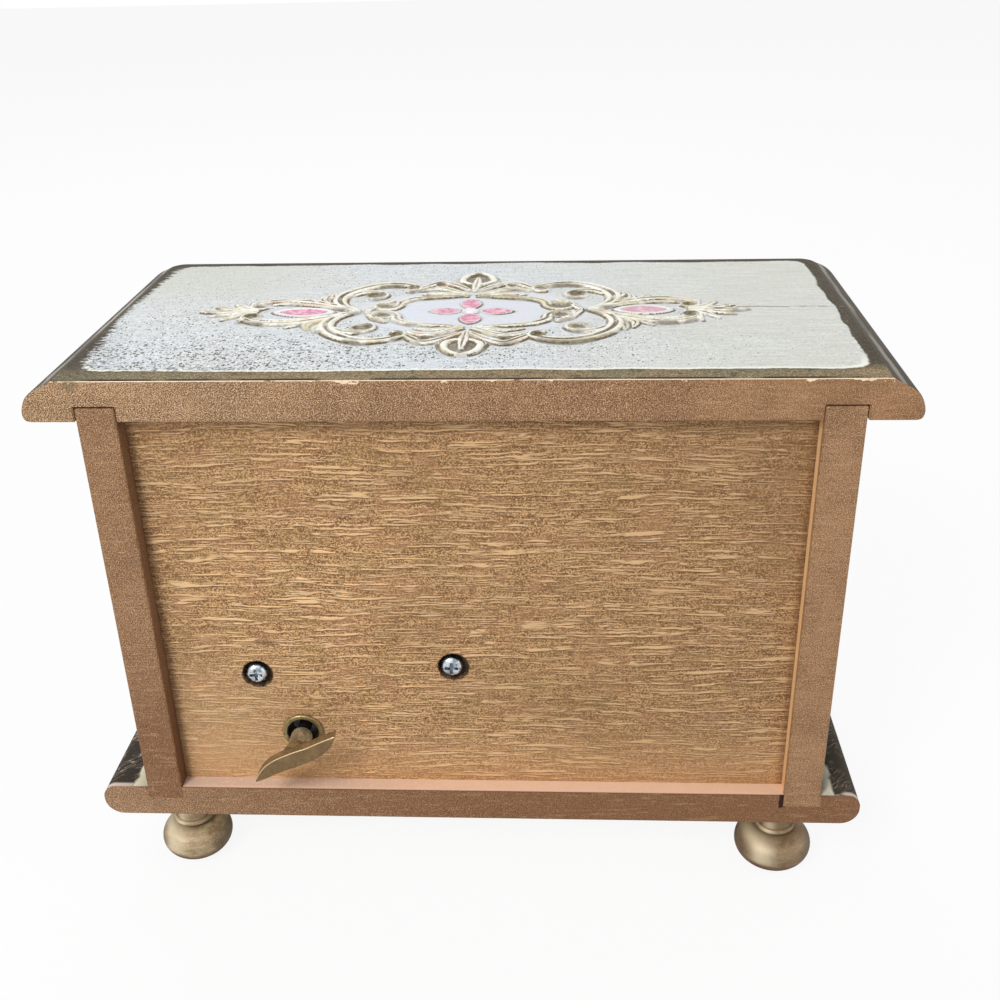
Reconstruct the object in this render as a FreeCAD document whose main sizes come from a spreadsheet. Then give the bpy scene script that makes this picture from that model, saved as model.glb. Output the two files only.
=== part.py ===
import FreeCAD, Part
import math
import operator
import os
from types import SimpleNamespace

import Sketcher

# A wooden musical jewelry box, seen from the front along +Y: +X right, +Z up.
# The origin is on the floor, under the middle of the whole object.
# Two small drawers stand over one wide drawer. Behind the wide drawer a spring
# driven comb movement hangs on the back panel, and its key comes out at the back.

doc = FreeCAD.newDocument("jewelry_box")
sheet = doc.addObject("Spreadsheet::Sheet", "Sizes")

# Driving dimensions, in millimetres or counts
DIMENSIONS = [
    ("case_width", 155.0, "outside of the two side panels"),
    ("side_depth", 81.3, "front edge to back edge of a side panel"),
    ("side_thickness", 8.1, "side panel board"),
    ("opening_height", 92.1, "base board up to the underside of the top board"),
    ("back_recess", 4.2, "back panel set in from the back edges"),
    ("back_thickness", 4.0, "back panel plywood"),
    ("panel_gap", 0.3, "play round the back panel"),
    ("foot_height", 18.6, "floor to the base board"),
    ("foot_radius", 9.0, "bun of a turned foot"),
    ("foot_bun_round", 5.3, "rounding of the bun, half its height"),
    ("foot_bead_radius", 5.1, "bead on top of the bun"),
    ("foot_bead_height", 1.5, "height of the bead"),
    ("foot_groove_radius", 4.3, "groove under the bead and root of the neck"),
    ("foot_groove_height", 0.6, "height of that groove"),
    ("foot_neck_radius", 6.2, "top of the neck, against the base board"),
    ("foot_tenon_radius", 3.0, "dowel glued into the base board"),
    ("foot_tenon_length", 4.5, "depth of that dowel"),
    ("foot_side_inset", 16.6, "foot axis in from the ends of the base board"),
    ("foot_back_inset", 9.5, "foot axis in from the back edge"),
    ("foot_front_inset", 16.6, "foot axis in from the front edge"),
    ("base_thickness", 7.7, "base board"),
    ("base_overhang", 9.9, "base board past the sides and their front edges"),
    ("base_corner", 8.0, "front corners of the base board in plan"),
    ("base_top_round", 2.8, "upper rounding of the base edge"),
    ("base_bottom_round", 4.2, "lower rounding of the base edge"),
    ("base_dado", 2.9, "groove in the base board for a side panel"),
    ("lid_edge", 6.8, "thickness of the moulded edge of the top board"),
    ("lid_step", 2.0, "raised field above that edge"),
    ("lid_overhang", 10.7, "top board past the sides and their front edges"),
    ("lid_corner", 9.0, "front corners of the top board in plan"),
    ("lid_nose", 4.0, "quarter round of the moulded edge"),
    ("lid_lip", 1.2, "lower rounding of the moulded edge"),
    ("lid_dado", 3.2, "groove in the top board for a side panel"),
    ("field_inset", 6.0, "raised field in from the moulded edge"),
    ("field_corner", 4.5, "front corners of the raised field"),
    ("field_round", 1.3, "worn upper edge of the raised field"),
    ("joint_play", 0.25, "play of a side panel in its grooves"),
    ("relief_length", 124.0, "carved ornament on the top, left to right"),
    ("relief_depth", 59.4, "carved ornament, front to back"),
    ("relief_height", 0.8, "how far the ornament stands up"),
    ("relief_setback", 42.6, "middle of the ornament from the back edge"),
    ("relief_aside", 1.2, "middle of the ornament from the middle of the box"),
    ("shelf_thickness", 5.0, "board between the wide drawer and the small ones"),
    ("lower_opening", 46.0, "height of the space for the wide drawer"),
    ("upright_thickness", 5.0, "board between the two small drawers"),
    ("front_thickness", 8.0, "drawer front"),
    ("drawer_play", 0.4, "gap beside and above a drawer front"),
    ("drawer_lift", 0.2, "gap under a drawer"),
    ("drawer_side", 4.0, "side and back boards of a drawer"),
    ("drawer_floor", 2.5, "bottom board of a drawer"),
    ("drawer_side_drop", 4.0, "drawer sides lower than the front"),
    ("drawer_stop_gap", 0.6, "back of a small drawer to the back panel"),
    ("front_setback", 0.5, "drawer fronts in from the front edges"),
    ("lining_thickness", 1.2, "velvet covered card in a drawer"),
    ("lining_play", 0.4, "gap round that card"),
    ("knob_radius", 5.5, "head of a drawer knob"),
    ("knob_reach", 9.5, "knob out of the drawer front"),
    ("knob_foot_radius", 3.6, "foot of the knob"),
    ("knob_neck_radius", 2.2, "neck of the knob"),
    ("knob_spread", 33.0, "wide drawer's knobs from its middle"),
    ("knob_screw_radius", 1.3, "wood screw through a drawer front"),
    ("knob_screw_grip", 5.5, "how far that screw goes into the knob"),
    ("knob_screw_head_radius", 2.7, "head of that screw"),
    ("knob_screw_head", 1.5, "height of that head"),
    ("key_side", 40.2, "winding axis from the middle of the box"),
    ("key_rise", 13.7, "winding axis above the base board"),
    ("eyelet_radius", 4.75, "flange of the brass eyelet"),
    ("eyelet_bore", 3.4, "inside radius of the eyelet"),
    ("eyelet_wall", 0.5, "sheet of the eyelet"),
    ("eyelet_flange", 0.8, "thickness of its rolled flange"),
    ("key_shank_radius", 2.6, "round shank of the key"),
    ("key_shank_start", 2.0, "shank end inside the back panel's outer face"),
    ("key_wing_start", 7.9, "inner face of the wing from the back panel"),
    ("key_wing_thickness", 2.6, "wing along the shank"),
    ("key_wing_length", 22.8, "wing from tip to tip"),
    ("key_wing_belly", 2.9, "bulge of each half of the wing"),
    ("key_wing_angle", 34.3, "wing's tilt at rest, in degrees"),
    ("screw_side_a", 8.9, "outer movement screw from the winding axis"),
    ("screw_rise_a", 15.6, "outer movement screw above the winding axis"),
    ("screw_side_b", 35.2, "inner movement screw from the winding axis"),
    ("screw_rise_b", 17.9, "inner movement screw above the winding axis"),
    ("screw_head_radius", 2.5, "pan head of a movement screw"),
    ("screw_head_height", 1.9, "height of that head"),
    ("screw_radius", 1.3, "shank of a movement screw"),
    ("screw_grip", 4.5, "how far the screw goes into the bedplate"),
    ("screw_well_radius", 3.45, "counterbore for the screw head"),
    ("screw_well_depth", 2.0, "depth of that counterbore"),
    ("fixed_play", 0.1, "play round a screw or pin that stays put"),
    ("running_play", 0.05, "radial play of a shaft in its bearing"),
    ("movement_bay", 24.3, "depth of the space for the movement"),
    ("plate_thickness", 2.0, "bedplate of the movement"),
    ("plate_outer_reach", 13.0, "bedplate past the winding axis, outwards"),
    ("plate_margin", 2.4, "bedplate past the governor frame"),
    ("plate_drop", 11.0, "bedplate below the winding axis"),
    ("plate_rise", 21.5, "bedplate above the winding axis"),
    ("boss_radius", 2.7, "bedplate bosses that take the movement screws"),
    ("boss_height", 4.0, "height of those bosses"),
    ("hub_radius", 3.5, "bedplate hub round the winding arbor"),
    ("hub_height", 1.0, "height of that hub"),
    ("arbor_radius", 1.5, "winding arbor"),
    ("arbor_core_radius", 2.2, "spring core of the arbor"),
    ("axial_play", 0.1, "end play of the turning parts"),
    ("barrel_radius", 9.5, "spring barrel"),
    ("barrel_wall", 0.8, "walls of the spring barrel"),
    ("barrel_length", 6.7, "spring barrel without its toothed cap"),
    ("crown_teeth", 32, "teeth on the barrel's cap"),
    ("crown_radius", 8.4, "middle of those teeth"),
    ("crown_face", 2.0, "length of those teeth, outwards"),
    ("crown_tooth_height", 0.9, "height of those teeth"),
    ("spring_thickness", 0.3, "mainspring strip"),
    ("spring_turns", 6, "turns of the mainspring"),
    ("pinion_teeth", 12, "cylinder pinion"),
    ("pinion_face", 1.6, "width of that pinion"),
    ("cylinder_radius", 6.5, "pinned cylinder"),
    ("cylinder_margin", 0.1, "pinned cylinder past the comb at each end"),
    ("bearing_gap", 0.6, "cylinder's bearing from the spring barrel"),
    ("pin_radius", 0.2, "a pin on the cylinder"),
    ("pin_height", 0.5, "how far a pin stands out"),
    ("pin_root", 0.5, "how deep a pin goes into the cylinder"),
    ("pins_per_note", 3, "pins round the cylinder for each note"),
    ("shaft_radius", 0.8, "cylinder and governor shafts"),
    ("gear_teeth", 42, "cylinder gear"),
    ("gear_module", 0.35, "pitch diameter over teeth of that gear"),
    ("gear_face", 1.4, "width of the cylinder gear"),
    ("gear_gap", 0.5, "gap between the cylinder, its gear and their bearings"),
    ("governor_teeth", 10, "governor pinion"),
    ("worm_wheel_teeth", 15, "worm wheel"),
    ("worm_wheel_module", 0.42, "pitch diameter over teeth of that wheel"),
    ("worm_wheel_face", 1.4, "width of the worm wheel"),
    ("worm_radius", 1.3, "worm at its pitch line"),
    ("worm_depth", 0.32, "half depth of the worm's thread"),
    ("worm_turns", 4, "turns of the worm"),
    ("worm_pivot_radius", 0.5, "pivots of the worm shaft"),
    ("fly_radius", 3.6, "governor fly"),
    ("fly_hub_radius", 1.0, "hub of the fly"),
    ("fly_height", 1.8, "governor fly along its shaft"),
    ("fly_thickness", 0.5, "blades of the fly"),
    ("tooth_share", 0.38, "tooth width over its pitch"),
    ("comb_notes", 18, "teeth of the comb"),
    ("comb_pitch", 1.1, "from tooth to tooth"),
    ("comb_slot", 0.3, "gap between two teeth"),
    ("comb_thickness", 1.0, "steel comb"),
    ("comb_tooth_length", 7.6, "free length of a tooth"),
    ("comb_clearance", 0.15, "comb tips to the pins"),
    ("comb_root_length", 6.3, "part of the comb that is screwed down"),
    ("comb_screw_spread", 6.0, "comb screws from the comb's middle"),
    ("small_screw_radius", 0.9, "small screws in the movement"),
    ("small_screw_head_radius", 1.7, "heads of those screws"),
    ("small_screw_head", 0.9, "height of those heads"),
    ("small_screw_grip", 2.8, "shank of those screws past their seat"),
    ("frame_thickness", 1.2, "walls of the governor frame and bearings"),
    ("frame_inside", 8.0, "between the walls of the governor frame"),
    ("frame_drop", 4.0, "governor frame below the winding axis"),
    ("bearing_margin", 2.3, "metal round a shaft in its bearing"),
    ("lug_gap", 1.2, "lugs of the frame from the worm's thread"),
    ("bridge_width", 6.0, "strap over the spring barrel"),
    ("bridge_thickness", 1.0, "sheet of that strap"),
    ("bridge_gap", 0.4, "strap from the spring barrel"),
    ("bridge_foot", 5.0, "foot of the strap, with its screw"),
    ("lever_thickness", 0.6, "stop lever sheet"),
    ("lever_width", 1.8, "stop lever, side to side"),
    ("lever_height", 7.5, "stop lever above its pivot"),
    ("lever_hub_radius", 0.9, "hub of the stop lever"),
    ("lever_pin_radius", 0.5, "pivot of the stop lever"),
    ("lever_gap", 0.3, "stop lever from the wide drawer, shut"),
    ("catch_clearance", 0.15, "stop lever's catch from the turning fly"),
]

for row, (alias, number, note) in enumerate(DIMENSIONS, start=1):
    sheet.set(f"A{row}", str(number))
    sheet.setAlias(f"A{row}", alias)
    sheet.set(f"B{row}", note)
doc.recompute()


class Size:
    """A length: the formula that ties it to the sheet, and what it comes to."""

    def __init__(self, formula, value):
        self.formula = formula
        self.value = value

    def __add__(self, other):
        return combine(self, "+", other)

    def __radd__(self, other):
        return combine(other, "+", self)

    def __sub__(self, other):
        return combine(self, "-", other)

    def __rsub__(self, other):
        return combine(other, "-", self)

    def __mul__(self, other):
        return combine(self, "*", other)

    def __rmul__(self, other):
        return combine(other, "*", self)

    def __truediv__(self, other):
        return combine(self, "/", other)

    def __rtruediv__(self, other):
        return combine(other, "/", self)

    def __neg__(self):
        return combine(0, "-", self)


OPERATORS = {"+": operator.add, "-": operator.sub, "*": operator.mul, "/": operator.truediv}


def as_size(number):
    return number if isinstance(number, Size) else Size(str(number), float(number))


def combine(left, sign, right):
    left, right = as_size(left), as_size(right)
    formula = f"({left.formula} {sign} {right.formula})"
    return Size(formula, OPERATORS[sign](left.value, right.value))


def cell(alias):
    return Size(f"Sizes.{alias}", float(sheet.get(alias)))


S = SimpleNamespace(**{alias: cell(alias) for alias, _, _ in DIMENSIONS})
PI = 3.14159265


# Helpers that make bound objects
def bind(thing, name, size):
    thing.setExpression(name, as_size(size).formula)


def move(thing, at):
    for axis, where in zip("xyz", at):
        bind(thing, f"Placement.Base.{axis}", where)


STRAIGHT = FreeCAD.Rotation()
INWARD = FreeCAD.Rotation(FreeCAD.Vector(1, 0, 0), 90)
OUTWARD = FreeCAD.Rotation(FreeCAD.Vector(1, 0, 0), -90)
SIDEWAYS = FreeCAD.Rotation(FreeCAD.Vector(0, 1, 0), 90)


def board(label, across, along, up):
    """A block between its low and high faces on X, Y and Z."""
    block = doc.addObject("Part::Box", label)
    for side, (low, high) in zip(("Length", "Width", "Height"), (across, along, up)):
        bind(block, side, high - low)
    move(block, [low for low, _ in (across, along, up)])
    return block


def rod(label, turn, at, radius, length):
    """A round bar from a point along its own turned Z axis."""
    bar = doc.addObject("Part::Cylinder", label)
    bar.Placement = FreeCAD.Placement(FreeCAD.Vector(), turn)
    bind(bar, "Radius", radius)
    bind(bar, "Height", length)
    move(bar, at)
    return bar


def fuse(label, *pieces):
    whole = doc.addObject("Part::MultiFuse", label)
    whole.Shapes = list(pieces)
    whole.Refine = True
    return whole


def cut(label, base, *tools):
    whole = doc.addObject("Part::Cut", label)
    whole.Base = base
    whole.Tool = tools[0] if len(tools) == 1 else fuse(f"{label}_cuts", *tools)
    return whole


def group(label, *pieces):
    """Like pieces that share one node, as separate solids."""
    whole = doc.addObject("Part::Compound", label)
    whole.Links = list(pieces)
    return whole


def new_body(label, turn=STRAIGHT, at=(0, 0, 0)):
    body = doc.addObject("PartDesign::Body", label)
    body.Placement = FreeCAD.Placement(FreeCAD.Vector(), turn)
    move(body, at)
    return body


def origin_part(body, role):
    return next(part for part in body.Origin.OriginFeatures if part.Role == role)


def arc_between(start, end, radius):
    """The short arc; a positive radius keeps its centre left of the way."""
    chord = end - start
    middle = (start + end) * 0.5
    left = FreeCAD.Vector(-chord.y, chord.x, 0).normalize()
    offset = math.sqrt(max(radius * radius - chord.Length**2 / 4, 0))
    centre = middle + left * math.copysign(offset, radius)
    circle = Part.Circle(centre, FreeCAD.Vector(0, 0, 1), abs(radius))
    first, last = (start, end) if radius > 0 else (end, start)
    angles = [math.atan2(p.y - centre.y, p.x - centre.x) for p in (first, last)]
    return Part.ArcOfCircle(circle, angles[0], angles[1])


def sketch_on(body, name, role="XY_Plane", lift=None):
    sketch = body.newObject("Sketcher::SketchObject", name)
    sketch.AttachmentSupport = [(origin_part(body, role), "")]
    sketch.MapMode = "FlatFace"
    if lift is not None:
        bind(sketch, "AttachmentOffset.Base.z", lift)
    return sketch


def constrain(sketch, size, *what):
    """One constraint whose value is tied to the sheet."""
    index = sketch.addConstraint(Sketcher.Constraint(*what, as_size(size).value))
    bind(sketch, f"Constraints[{index}]", size)


def draw(body, name, corners, role="XY_Plane", lift=None):
    """A closed outline. A corner is (across, up), or (across, up, radius) where
    an arc runs from it to the next corner, its centre left of the way if the
    radius is positive."""
    sketch = sketch_on(body, name, role, lift)
    places = [(as_size(c[0]), as_size(c[1])) for c in corners]
    points = [FreeCAD.Vector(a.value, b.value, 0) for a, b in places]
    starts = []
    ends = []
    for number, corner in enumerate(corners):
        start, end = points[number], points[(number + 1) % len(points)]
        if len(corner) == 3:
            radius = as_size(corner[2])
            edge = sketch.addGeometry(arc_between(start, end, radius.value))
            constrain(sketch, radius if radius.value > 0 else -radius, "Radius", edge)
            forward = radius.value > 0
        else:
            edge = sketch.addGeometry(Part.LineSegment(start, end))
            forward = True
        starts.append((edge, 1 if forward else 2))
        ends.append((edge, 2 if forward else 1))
    for number, (across, up) in enumerate(places):
        edge, tip = starts[number]
        before, before_tip = ends[number - 1]
        sketch.addConstraint(Sketcher.Constraint("Coincident", before, before_tip, edge, tip))
        constrain(sketch, across, "DistanceX", -1, 1, edge, tip)
        constrain(sketch, up, "DistanceY", -1, 1, edge, tip)
    return sketch


def turn_sketch(sketch, degrees):
    """Turns a sketch in its own plane, about the body's axis."""
    sketch.AttachmentOffset = FreeCAD.Placement(
        sketch.AttachmentOffset.Base, FreeCAD.Rotation(FreeCAD.Vector(0, 0, 1), 1))
    bind(sketch, "AttachmentOffset.Rotation.Angle", degrees)


def pad(body, name, sketch, length):
    feature = body.newObject("PartDesign::Pad", name)
    feature.Profile = sketch
    bind(feature, "Length", length)
    doc.recompute()
    return feature


def pocket(body, name, sketch, length, upward=False):
    feature = body.newObject("PartDesign::Pocket", name)
    feature.Profile = sketch
    feature.Reversed = upward
    bind(feature, "Length", length)
    doc.recompute()
    return feature


def spin(body, name, sketch):
    """The profile turned about the body's Z axis."""
    feature = body.newObject("PartDesign::Revolution", name)
    feature.Profile = sketch
    feature.ReferenceAxis = (origin_part(body, "Z_Axis"), [""])
    feature.Angle = 360
    doc.recompute()
    return feature


def turned(label, profile, turn=STRAIGHT, at=(0, 0, 0)):
    """A piece turned on a lathe: profile corners are (radius, height)."""
    body = new_body(label, turn, at)
    spin(body, f"{label}_turning", draw(body, f"{label}_profile", profile, "XZ_Plane"))
    return body


def ring_of(body, name, feature, count):
    pattern = body.newObject("PartDesign::PolarPattern", name)
    pattern.Originals = [feature]
    pattern.Axis = (origin_part(body, "Z_Axis"), [""])
    pattern.Angle = 360
    bind(pattern, "Occurrences", count)
    body.Tip = pattern
    doc.recompute()
    return pattern


def row_of(body, name, feature, count, length):
    pattern = body.newObject("PartDesign::LinearPattern", name)
    pattern.Originals = [feature]
    pattern.Direction = (origin_part(body, "X_Axis"), [""])
    bind(pattern, "Length", length)
    bind(pattern, "Occurrences", count)
    body.Tip = pattern
    doc.recompute()
    return pattern


def round_over(body, name, radius, chosen):
    """A fillet on the edges of the body's tip that the test picks."""
    base = body.Tip
    names = [f"Edge{i}" for i, edge in enumerate(base.Shape.Edges, start=1) if chosen(edge)]
    feature = body.newObject("PartDesign::Fillet", name)
    feature.Base = (base, names)
    bind(feature, "Radius", radius)
    doc.recompute()
    return feature


def solid(label, shape, turn=STRAIGHT, at=(0, 0, 0)):
    """A piece whose shape follows a formula."""
    piece = doc.addObject("Part::Feature", label)
    piece.Shape = shape
    piece.Placement = FreeCAD.Placement(FreeCAD.Vector(), turn)
    move(piece, at)
    return piece


# Levels and planes that more than one piece meets
base_top = S.foot_height + S.base_thickness
lid_bottom = base_top + S.opening_height
key_reach = S.key_wing_start + S.key_wing_thickness - S.back_recess
lid_depth = S.side_depth + S.lid_overhang
back_y = (lid_depth - key_reach) / 2
side_front = back_y - S.side_depth
panel_outer = back_y - S.back_recess
panel_inner = panel_outer - S.back_thickness
half_case = S.case_width / 2
half_inside = half_case - S.side_thickness
key_z = base_top + S.key_rise


# Case boards
def moulded_board(label, half_width, depth, corner, thickness, bottom):
    """A board with a flat back edge and two rounded front corners."""
    body = new_body(label, at=(0, back_y, bottom))
    outline = [
        (-half_width, 0),
        (-half_width, corner - depth, corner),
        (corner - half_width, -depth),
        (half_width - corner, -depth, corner),
        (half_width, corner - depth),
        (half_width, 0),
    ]
    pad(body, f"{label}_slab", draw(body, f"{label}_outline", outline), thickness)
    return body


def is_rim(height):
    """Picks the edges at one height, apart from the one along the back."""
    def chosen(edge):
        box = edge.BoundBox
        level = abs(box.ZMin - height) < 0.01 and abs(box.ZMax - height) < 0.01
        return level and box.YMin < -0.01
    return chosen


half_lid = half_case + S.lid_overhang
lid_thickness = S.lid_edge + S.lid_step
top_blank = moulded_board("top_board_blank", half_lid, lid_depth, S.lid_corner, S.lid_edge, lid_bottom)
round_over(top_blank, "top_board_nose", S.lid_nose, is_rim(S.lid_edge.value))
round_over(top_blank, "top_board_lip", S.lid_lip, is_rim(0))
half_field = half_lid - S.field_inset
field_depth = lid_depth - S.field_inset
field_outline = [
    (-half_field, 0),
    (-half_field, S.field_corner - field_depth, S.field_corner),
    (S.field_corner - half_field, -field_depth),
    (half_field - S.field_corner, -field_depth, S.field_corner),
    (half_field, S.field_corner - field_depth),
    (half_field, 0),
]
pad(top_blank, "top_board_field", draw(top_blank, "field_outline", field_outline), lid_thickness)
round_over(top_blank, "top_board_worn_edge", S.field_round, is_rim(lid_thickness.value))

half_base = half_case + S.base_overhang
base_depth = S.side_depth + S.base_overhang
base_blank = moulded_board("base_board_blank", half_base, base_depth, S.base_corner,
                           S.base_thickness, S.foot_height)
round_over(base_blank, "base_board_top_round", S.base_top_round, is_rim(S.base_thickness.value))
round_over(base_blank, "base_board_bottom_round", S.base_bottom_round, is_rim(0))


def groove(label, side, low, high):
    """The groove that a side panel stands in, open at the back."""
    inner, outer = half_inside - S.fixed_play, half_case + S.fixed_play
    across = (inner, outer) if side > 0 else (-outer, -inner)
    return board(label, across, (side_front - S.fixed_play, back_y + S.fixed_play), (low, high))


lid_groove_top = lid_bottom + S.lid_dado
base_groove_floor = base_top - S.base_dado
cut("top_board", top_blank,
    groove("top_groove_left", -1, lid_bottom - S.fixed_play, lid_groove_top),
    groove("top_groove_right", 1, lid_bottom - S.fixed_play, lid_groove_top))

feet = {
    "foot_front_left": (S.foot_side_inset - half_base, back_y - base_depth + S.foot_front_inset),
    "foot_front_right": (half_base - S.foot_side_inset, back_y - base_depth + S.foot_front_inset),
    "foot_back_left": (S.foot_side_inset - half_base, back_y - S.foot_back_inset),
    "foot_back_right": (half_base - S.foot_side_inset, back_y - S.foot_back_inset),
}
tenon_holes = [
    rod(f"{name}_hole", STRAIGHT, (across, along, S.foot_height - S.fixed_play),
        S.foot_tenon_radius + S.fixed_play, S.foot_tenon_length + 2 * S.fixed_play)
    for name, (across, along) in feet.items()
]
cut("base_board", base_blank,
    groove("base_groove_left", -1, base_groove_floor, base_top + S.fixed_play),
    groove("base_groove_right", 1, base_groove_floor, base_top + S.fixed_play),
    *tenon_holes)

side_up = (base_groove_floor, lid_groove_top - S.joint_play)
board("side_panel_left", (-half_case, -half_inside), (side_front, back_y), side_up)
board("side_panel_right", (half_inside, half_case), (side_front, back_y), side_up)

# Turned feet
bun_side = S.foot_radius - S.foot_bun_round
bun_top = 2 * S.foot_bun_round
groove_top = bun_top + S.foot_groove_height
bead_top = groove_top + S.foot_bead_height
bead_round = S.foot_bead_height / 2
foot_profile = [
    (0, 0),
    (bun_side, 0, S.foot_bun_round),
    (S.foot_radius, S.foot_bun_round, S.foot_bun_round),
    (bun_side, bun_top),
    (S.foot_groove_radius, bun_top),
    (S.foot_groove_radius, groove_top),
    (S.foot_bead_radius - bead_round, groove_top, bead_round),
    (S.foot_bead_radius, groove_top + bead_round, bead_round),
    (S.foot_bead_radius - bead_round, bead_top),
    (S.foot_groove_radius, bead_top, -1.2 * (S.foot_height - bead_top)),
    (S.foot_neck_radius, S.foot_height),
    (S.foot_tenon_radius, S.foot_height),
    (S.foot_tenon_radius, S.foot_height + S.foot_tenon_length),
    (0, S.foot_height + S.foot_tenon_length),
]
for name, (across, along) in feet.items():
    turned(name, foot_profile, at=(across, along, 0))

# Back panel, with wells for the two movement screws and a hole for the eyelet
half_panel = half_inside - S.panel_gap
panel_blank = board("back_panel_blank", (-half_panel, half_panel), (panel_inner, panel_outer),
                    (base_top, lid_bottom - S.panel_gap))
screw_places = [
    (S.key_side + S.screw_side_a, key_z + S.screw_rise_a),
    (S.key_side - S.screw_side_b, key_z + S.screw_rise_b),
]
panel_cuts = [
    rod("eyelet_hole", OUTWARD, (S.key_side, panel_inner - S.fixed_play, key_z),
        S.eyelet_bore + S.eyelet_wall + S.fixed_play, S.back_thickness + 2 * S.fixed_play)
]
for number, (across, up) in enumerate(screw_places, start=1):
    well_floor = panel_outer - S.screw_well_depth
    panel_cuts.append(rod(f"screw_well_{number}", OUTWARD, (across, well_floor, up),
                          S.screw_well_radius, S.screw_well_depth + S.fixed_play))
    panel_cuts.append(rod(f"screw_hole_{number}", OUTWARD, (across, panel_inner - S.fixed_play, up),
                          S.screw_radius + S.fixed_play, S.back_thickness))
cut("back_panel", panel_blank, *panel_cuts)

# Brass eyelet that lines the key hole
eyelet_profile = [
    (S.eyelet_bore, -S.back_thickness),
    (S.eyelet_bore + S.eyelet_wall, -S.back_thickness),
    (S.eyelet_bore + S.eyelet_wall, 0),
    (S.eyelet_radius, 0),
    (S.eyelet_radius, S.eyelet_flange / 2, S.eyelet_flange),
    (S.eyelet_bore + S.eyelet_wall, S.eyelet_flange),
    (S.eyelet_bore, S.eyelet_flange / 2),
]
turned("key_eyelet", eyelet_profile, OUTWARD, (S.key_side, panel_outer, key_z))

# Carved ornament on the raised field: a lozenge with wavy sides
relief = new_body("top_relief", at=(S.relief_aside, back_y - S.relief_setback, lid_bottom + lid_thickness))
reach, rise = S.relief_length / 2, S.relief_depth / 2
relief_outline = [
    (reach, 0, reach * -1.4),
    (reach * 0.56, rise * 0.26, reach * 0.5),
    (reach * 0.16, rise * 0.72, rise * 0.45),
    (0, rise, rise * 0.45),
    (reach * -0.16, rise * 0.72, reach * 0.5),
    (reach * -0.56, rise * 0.26, reach * -1.4),
    (-reach, 0, reach * -1.4),
    (reach * -0.56, rise * -0.26, reach * 0.5),
    (reach * -0.16, rise * -0.72, rise * 0.45),
    (0, -rise, rise * 0.45),
    (reach * 0.16, rise * -0.72, reach * 0.5),
    (reach * 0.56, rise * -0.26, reach * -1.4),
]
pad(relief, "relief_slab", draw(relief, "relief_outline", relief_outline), S.relief_height)

# Shelf and upright that divide the case
shelf_bottom = base_top + S.lower_opening
shelf_top = shelf_bottom + S.shelf_thickness
half_upright = S.upright_thickness / 2
board("drawer_shelf", (-half_inside, half_inside), (side_front, panel_inner), (shelf_bottom, shelf_top))
board("drawer_upright", (-half_upright, half_upright), (side_front, panel_inner), (shelf_top, lid_bottom))


# Screws
def screw_body(label, turn, at, head_radius, head, shank_radius, shank):
    """A pan head cross screw; its seat is at the point, its head on +Z."""
    body = new_body(label, turn, at)
    flat = head_radius * 0.55
    profile = [
        (0, -shank),
        (shank_radius * 0.5, -shank),
        (shank_radius, shank_radius - shank),
        (shank_radius, 0),
        (head_radius, 0),
        (head_radius, head * 0.35, head_radius * 0.8),
        (flat, head),
        (0, head),
    ]
    spin(body, f"{label}_turning", draw(body, f"{label}_profile", profile, "XZ_Plane"))
    arm, half = head_radius * 0.55, head_radius * 0.13
    cross = [
        (arm, -half), (arm, half), (half, half), (half, arm), (-half, arm), (-half, half),
        (-arm, half), (-arm, -half), (-half, -half), (-half, -arm), (half, -arm), (half, -half),
    ]
    pocket(body, f"{label}_recess", draw(body, f"{label}_cross", cross, lift=head), head * 0.5)
    return body


movement_screws = [
    screw_body(f"movement_screw_{number}", OUTWARD, (across, panel_outer - S.screw_well_depth, up),
               S.screw_head_radius, S.screw_head_height, S.screw_radius,
               S.back_thickness - S.screw_well_depth + S.screw_grip)
    for number, (across, up) in enumerate(screw_places, start=1)
]
group("movement_screws", *movement_screws)


# Drawers
def turned_knob(label, across, front, up):
    head_start, dome = S.knob_reach * 0.45, S.knob_reach * 0.3
    profile = [
        (0, 0),
        (S.knob_foot_radius, 0),
        (S.knob_foot_radius, S.knob_reach * 0.12),
        (S.knob_neck_radius, S.knob_reach * 0.28),
        (S.knob_neck_radius, head_start - S.knob_reach * 0.05),
        (S.knob_radius, head_start + S.knob_reach * 0.15),
        (S.knob_radius, S.knob_reach - dome, (S.knob_radius * S.knob_radius + dome * dome) / (2 * dome)),
        (0, S.knob_reach),
    ]
    blank = turned(f"{label}_blank", profile, INWARD, (across, front, up))
    bore = rod(f"{label}_bore", INWARD, (across, front + S.fixed_play, up),
               S.knob_screw_radius + S.fixed_play, S.knob_screw_grip + 2 * S.fixed_play)
    return cut(label, blank, bore)


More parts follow.
